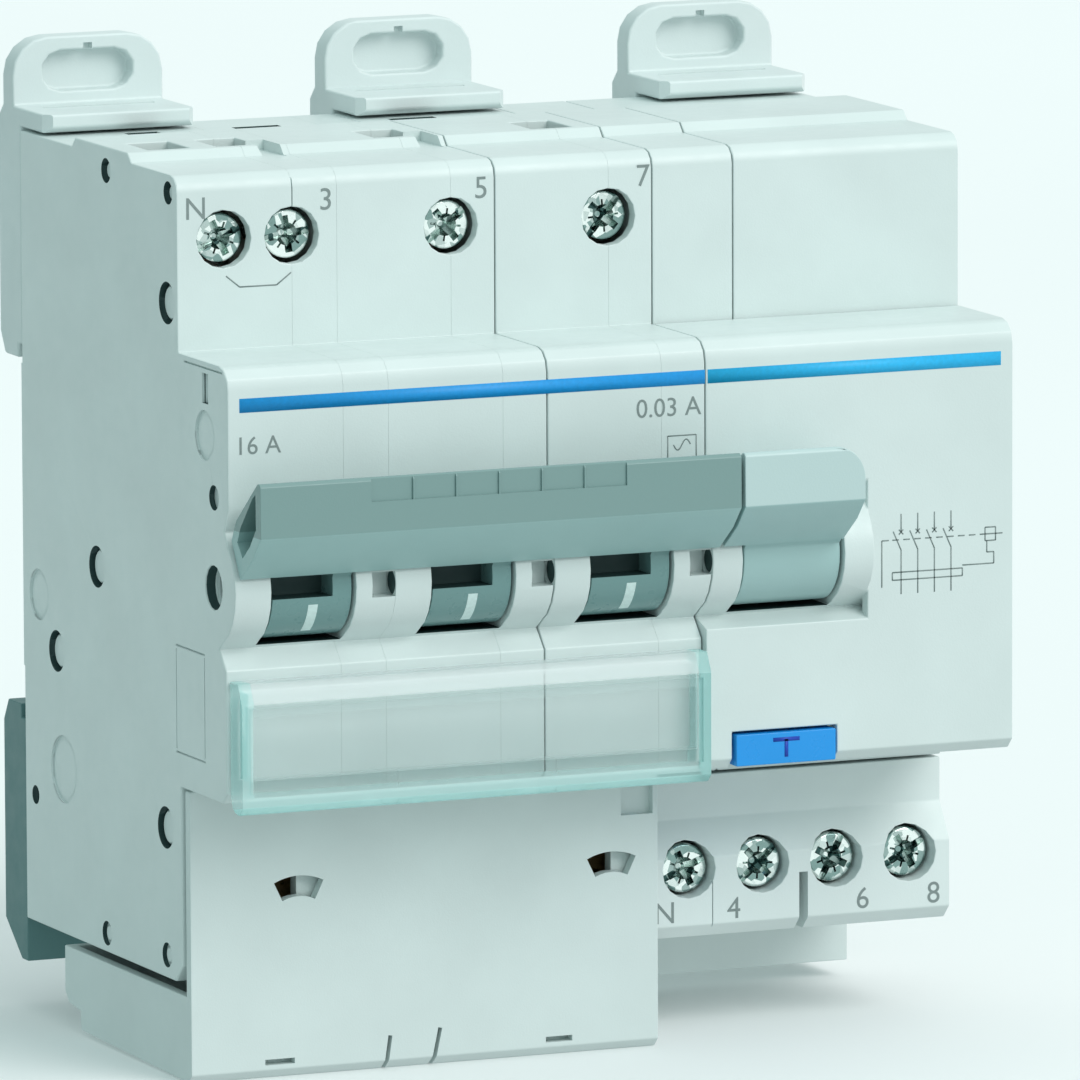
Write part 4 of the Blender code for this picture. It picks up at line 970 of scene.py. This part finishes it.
def make_bar():
    """The handle bar with its six grip panels along the upper edge."""
    low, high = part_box("handle_bar")
    hollow = about_axle(
        (6.9, 3.9), (8.9, 5.4), (10.5, 7.3), (10.45, 10.9), (9.6, 10.4), (6.3, 6.9), (5.5, 5.4)
    )
    cuts = [prism("X", hollow, low.x - REACH, high.x + REACH)]
    start = LEFT + 12.5 * MM
    for i in range(GRIP_PANELS):
        x0 = start + i * GRIP_PITCH + GRIP_GAP / 2
        x1 = start + (i + 1) * GRIP_PITCH - GRIP_GAP / 2
        through = (BAR_DEPTH - 0.25 * MM, BAR_DEPTH + REACH)
        cuts.append(block(x0, x1, *through, 9.1 * MM, high.z + REACH))
    shape = crafted("grip_bar", prism("X", grip_outline(), low.x, high.x), EDGE_CRISP, cuts=cuts)
    dress(shape, "breaker_handle", BAR_PAINTED_SHADE, ["handle_bar"])


def drum_outline(*nose):
    return arc((AXLE_DEPTH, AXLE_Z), DRUM_RADIUS, 62, 372, 60) + about_axle(*nose)


def make_toggles():
    for index in range(POLES):
        name = f"toggle_{index + 1}"
        low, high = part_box(name)
        through = (DRUM_SLOT_BACK, AXLE_DEPTH + REACH * 2)
        slot = block(low.x - REACH, low.x + 6.6 * MM, *through, -1.3 * MM, 1.0 * MM)
        bore = rod("X", (AXLE_DEPTH, AXLE_Z), AXLE_BORE, low.x - REACH, high.x + REACH)
        outline = drum_outline((5.8, 1.9), (3.75, 4.95))
        body = prism("X", outline, low.x, high.x)
        drum = crafted(f"drum_{index + 1}", body, EDGE_CRISP, cuts=[slot, bore])
        dress(drum, "breaker_handle", DRUM_GREY, [name])
        # Painted shade inside each drum's slot.
        shade_faces(drum, SHADOW, in_drum_slot)
        mark = ring_sector((AXLE_DEPTH, AXLE_Z), DRUM_RADIUS - INK, DRUM_RADIUS + INK, -17, -57, 10)
        x = pole_left(index) + 8.3 * MM
        bar = linked(f"drum_mark_{index + 1}", prism("X", mark, x, x + 1.05 * MM))
        smooth(bar)
        dress(bar, "breaker_handle", INK_PALE)


def in_drum_slot(centre, normal):
    """The slot's walls and floor, which get the painted shade, but not the drum's ends."""
    depth = -centre.y
    across = math.hypot(depth - AXLE_DEPTH, centre.z - AXLE_Z)
    inside = across < DRUM_RADIUS - 0.2 * MM and depth > DRUM_SLOT_BACK - 0.4 * MM
    return inside and abs(normal.x) < 0.9


def make_block_toggle():
    """The residual current block's toggle, its head well rounded at the upper right."""
    low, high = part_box("rcd_toggle")
    start = RCD_LEFT + 3.7 * MM
    drum = prism("X", drum_outline((6.6, 2.4), (4.2, 5.8)), start, high.x)
    radius = 3.4 * MM
    centre = (high.x - radius, high.z - radius)
    corner = [(high.x + MM, centre[1]), (high.x + MM, high.z + MM), (centre[0], high.z + MM)]
    corner += arc(centre, radius, 90, 0, 16)
    bore = rod("X", (AXLE_DEPTH, AXLE_Z), AXLE_BORE, low.x - REACH, high.x + REACH)
    toggle = linked("block_toggle", prism("X", grip_outline(), low.x, high.x))
    combined(toggle, "UNION", [drum])
    combined(toggle, "DIFFERENCE", [prism("Y", corner, AXLE_DEPTH, BAR_DEPTH + REACH), bore])
    soften(toggle, EDGE_SOFT)
    smooth(toggle)
    dress(toggle, "rcd_toggle", RCD_GREY, ["rcd_toggle"])


def make_button():
    low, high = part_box("test_button")
    key = crafted("test_key", shape_of("test_button"))
    dress(key, "test_button", BUTTON_BLUE, ["test_button"])
    middle = (low.x + high.x) / 2
    depth = -low.y
    arms = [
        [(middle - 1.5 * MM, high.z - 0.75 * MM), (middle + 1.5 * MM, high.z - 0.75 * MM)],
        [(middle, high.z - 0.75 * MM), (middle, low.z + 0.7 * MM)],
    ]
    sign = linked("test_key_sign", line_work(arms, depth, 0.42 * MM))
    dress(sign, "test_button", INK_NAVY)


# ---------------------------------------------------------------- screws and clips


def screw_head(x, z, front, turn):
    """Cutters of a combined slot and cross recess, turned by some degrees."""
    shapes = []
    for arm in range(4):
        angle = math.radians(turn + 90 * arm)
        out = Vector((math.cos(angle), math.sin(angle)))
        tip = (x + out.x * 2.15 * MM, z + out.y * 2.15 * MM)
        shapes.append(prism("Y", strip((x, z), tip, 1.0 * MM), front + MM, front - 1.15 * MM, 0.55))
        diagonal = math.radians(turn + 90 * arm + 45)
        out = Vector((math.cos(diagonal), math.sin(diagonal)))
        near = (x + out.x * 0.5 * MM, z + out.y * 0.5 * MM)
        tip = (x + out.x * 2.2 * MM, z + out.y * 2.2 * MM)
        shapes.append(prism("Y", strip(near, tip, 0.5 * MM), front + MM, front - 0.4 * MM, 0.2))
    shapes.append(turned("Y", (x, z), [(1.35 * MM, front + 0.3 * MM), (0.3 * MM, front - 1.5 * MM)]))
    slot_out = Vector((math.cos(math.radians(turn)), math.sin(math.radians(turn)))) * 3.2 * MM
    slot = strip((x - slot_out.x, z - slot_out.y), (x + slot_out.x, z + slot_out.y), 0.7 * MM)
    shapes.append(prism("Y", slot, front - 0.45 * MM, front + MM))
    return shapes


def make_screw(name, turn):
    low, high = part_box(name)
    x, z = (low.x + high.x) / 2, (low.z + high.z) / 2
    front, tip = -low.y - HEAD_SINK, -high.y
    back = front - HEAD_HEIGHT + HEAD_SINK
    head, shank, core = HEAD_RADIUS, SHANK_RADIUS, SHANK_RADIUS - THREAD_DEPTH
    profile = [(shank - 0.5 * MM, tip), (shank, tip + 0.4 * MM)]
    at = tip + 0.4 * MM
    while at < back - THREAD_PITCH * 1.5:
        profile += [(core, at + THREAD_PITCH / 2), (shank, at + THREAD_PITCH)]
        at += THREAD_PITCH
    profile += [
        (core, back - 0.2 * MM),
        (head - 0.2 * MM, back),
        (head, back + 0.2 * MM),
        (head, front - 0.35 * MM),
        (head - 0.1 * MM, front - 0.12 * MM),
        (head - 0.32 * MM, front),
    ]
    screw = linked(f"{name}_detail", turned("Y", (x, z), profile))
    combined(screw, "DIFFERENCE", screw_head(x, z, front, turn))
    smooth(screw)
    dress(screw, name, ZINC, [name])

    # The faces deep in the recess get the darker zinc, painted shade.
    def in_recess(centre, normal):
        across = math.hypot(centre.x - x, centre.z - z)
        return across < head - 0.3 * MM and back < -centre.y < front - 0.04 * MM

    shade_faces(screw, ZINC_PAINTED_SHADE, in_recess)


def make_screws():
    turns = {
        "line_screw_n": 24, "line_screw_1": 8, "line_screw_2": 38, "line_screw_3": 50,
        "load_screw_n": 24, "load_screw_1": 42, "load_screw_2": 62, "load_screw_3": 30,
    }
    for name, turn in turns.items():
        make_screw(name, turn)


def make_clips():
    """The light sliders with their ears above, and the dark sliders below."""
    for number in (1, 2, 3):
        name = f"upper_rail_clip_{number}"
        low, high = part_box(name)
        middle = (low.x + high.x) / 2
        nick = box_outline(middle - 0.5 * MM, middle + 0.5 * MM, 47.6 * MM, 49.2 * MM)
        across = (low.x + 2.2 * MM, high.x - 2.2 * MM)
        cuts = [
            prism("Y", nick, -3.4 * MM, -2.0 * MM),
            block(*across, 0.2 * MM, 0.9 * MM, 42.5 * MM, 44.0 * MM),
        ]
        for x0, x1 in ((low.x - MM, low.x + 1.6 * MM), (high.x - 1.6 * MM, high.x + MM)):
            corner = [(x0, 8.0 * MM), (x1, 8.0 * MM), (x0 if x0 < middle else x1, 4.6 * MM)]
            cuts.append(prism("Z", corner, 40.0 * MM, 44.0 * MM))
        ear = crafted(f"rail_ear_{number}", shape_of(name), EDGE_EAR, 3, cuts=cuts)
        dress(ear, name, EAR_LIGHT, [name])

        name = f"lower_rail_clip_{number}"
        hook = crafted(f"rail_hook_{number}", shape_of(name))
        dress(hook, name, CLIP_DARK, [name])


# ---------------------------------------------------------------- what keeps the frame's own shape


def paint_inner_works():
    surfaces = {
        "toggle_axle": STEEL, "rcd_toggle_axle": STEEL, "neutral_fixed_contact": COPPER,
        "test_contact_blade": BRONZE, "current_transformer": CORE, "trip_relay": RELAY_BLACK,
        "test_circuit_board": BOARD,
    }
    families = (
        ("magnetic_trip_", COPPER), ("moving_contact_", COPPER), ("arc_chute_", STEEL),
        ("bimetal_strip_", BRONZE), ("line_cage_", CAGE_METAL), ("load_cage_", CAGE_METAL),
    )
    for name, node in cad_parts.items():
        surface = surfaces.get(name)
        for start, shared in families:
            if name.startswith(start):
                surface = shared
        if surface:
            node.data.materials.clear()
            node.data.materials.append(surface)


# ---------------------------------------------------------------- studio


def make_camera():
    yaw, pitch, roll = (math.radians(a) for a in (CAMERA_YAW, CAMERA_PITCH, CAMERA_ROLL))
    forward = Vector(
        (math.sin(yaw) * math.cos(pitch), math.cos(yaw) * math.cos(pitch), -math.sin(pitch))
    )
    level = Vector((math.cos(yaw), -math.sin(yaw), 0.0))
    above = level.cross(forward)
    right = level * math.cos(roll) + above * math.sin(roll)
    up = above * math.cos(roll) - level * math.sin(roll)
    data = bpy.data.cameras.new("camera")
    data.lens = CAMERA_LENS
    data.sensor_width = CAMERA_SENSOR
    data.clip_start = 0.1
    data.clip_end = 100.0
    camera = bpy.data.objects.new("camera", data)
    bpy.context.scene.collection.objects.link(camera)
    turn = Matrix((right, up, -forward)).transposed().to_4x4()
    camera.matrix_world = Matrix.Translation(CAMERA_PLACE) @ turn
    bpy.context.scene.camera = camera


def make_floor():
    half = 20.0
    bm = bmesh.new()
    around = ((-1, -1), (1, -1), (1, 1), (-1, 1))
    height = cad_low.z - 0.02 * MM
    corners = [bm.verts.new((x * half, y * half, height)) for x, y in around]
    bm.faces.new(corners)
    floor = linked("floor", bm)
    made, tree, shader = shader_tree("floor_paper")
    cloud = spread(tree, noise(tree, 3.0), 0.0, 1.0)
    paper = blend(tree, cloud, (0.88, 0.89, 0.89), (0.90, 0.91, 0.91))
    tree.links.new(paper, shader.inputs["Base Color"])
    shader.inputs["Roughness"].default_value = 0.9
    floor.data.materials.append(made)
    floor.visible_diffuse = False
    floor.visible_shadow = False


def make_sky():
    """A soft surround: white above and to the right, cooler and dimmer to the left."""
    world = bpy.data.worlds.new("studio")
    bpy.context.scene.world = world
    world.use_nodes = True
    tree = world.node_tree
    background = tree.nodes["Background"]
    parts = tree.nodes.new("ShaderNodeSeparateXYZ")
    coordinate = tree.nodes.new("ShaderNodeTexCoord")
    tree.links.new(coordinate.outputs["Generated"], parts.inputs["Vector"])
    across = tree.nodes.new("ShaderNodeMapRange")
    across.inputs["From Min"].default_value = -1.0
    tree.links.new(parts.outputs["X"], across.inputs["Value"])
    tint = blend(tree, across.outputs["Result"], SKY_LEFT, SKY_RIGHT)
    tree.links.new(tint, background.inputs["Color"])
    up = tree.nodes.new("ShaderNodeMapRange")
    up.inputs["To Min"].default_value = SKY_LEVEL
    up.inputs["To Max"].default_value = SKY_LEVEL + SKY_ABOVE
    tree.links.new(parts.outputs["Z"], up.inputs["Value"])
    total = up.outputs["Result"]
    for output, gain in SKY_GAINS:
        node = tree.nodes.new("ShaderNodeMath")
        node.operation = "MULTIPLY_ADD"
        node.inputs[1].default_value = gain
        tree.links.new(parts.outputs[output], node.inputs[0])
        tree.links.new(total, node.inputs[2])
        total = node.outputs["Value"]
    tree.links.new(total, background.inputs["Strength"])


def make_sun(name, place_from, strength, angle, colour):
    data = bpy.data.lights.new(name, "SUN")
    data.energy = strength
    data.angle = math.radians(angle)
    data.color = colour
    sun = bpy.data.objects.new(name, data)
    bpy.context.scene.collection.objects.link(sun)
    sun.rotation_mode = "QUATERNION"
    sun.rotation_quaternion = Vector(place_from).to_track_quat("Z", "Y")


make_camera()
make_floor()
make_sky()
make_sun("key", (0.5, -1.0, 0.85), 1.35, 36, (1.0, 1.0, 0.99))
make_pole_shells()
make_block_shells()
make_front_cover()
make_terminal_block()
make_lower_cover()
make_window()
make_bar()
make_toggles()
make_block_toggle()
make_button()
make_screws()
make_clips()
paint_inner_works()
mark_terminals()
mark_nose()
bpy.context.scene.view_settings.view_transform = "Standard"
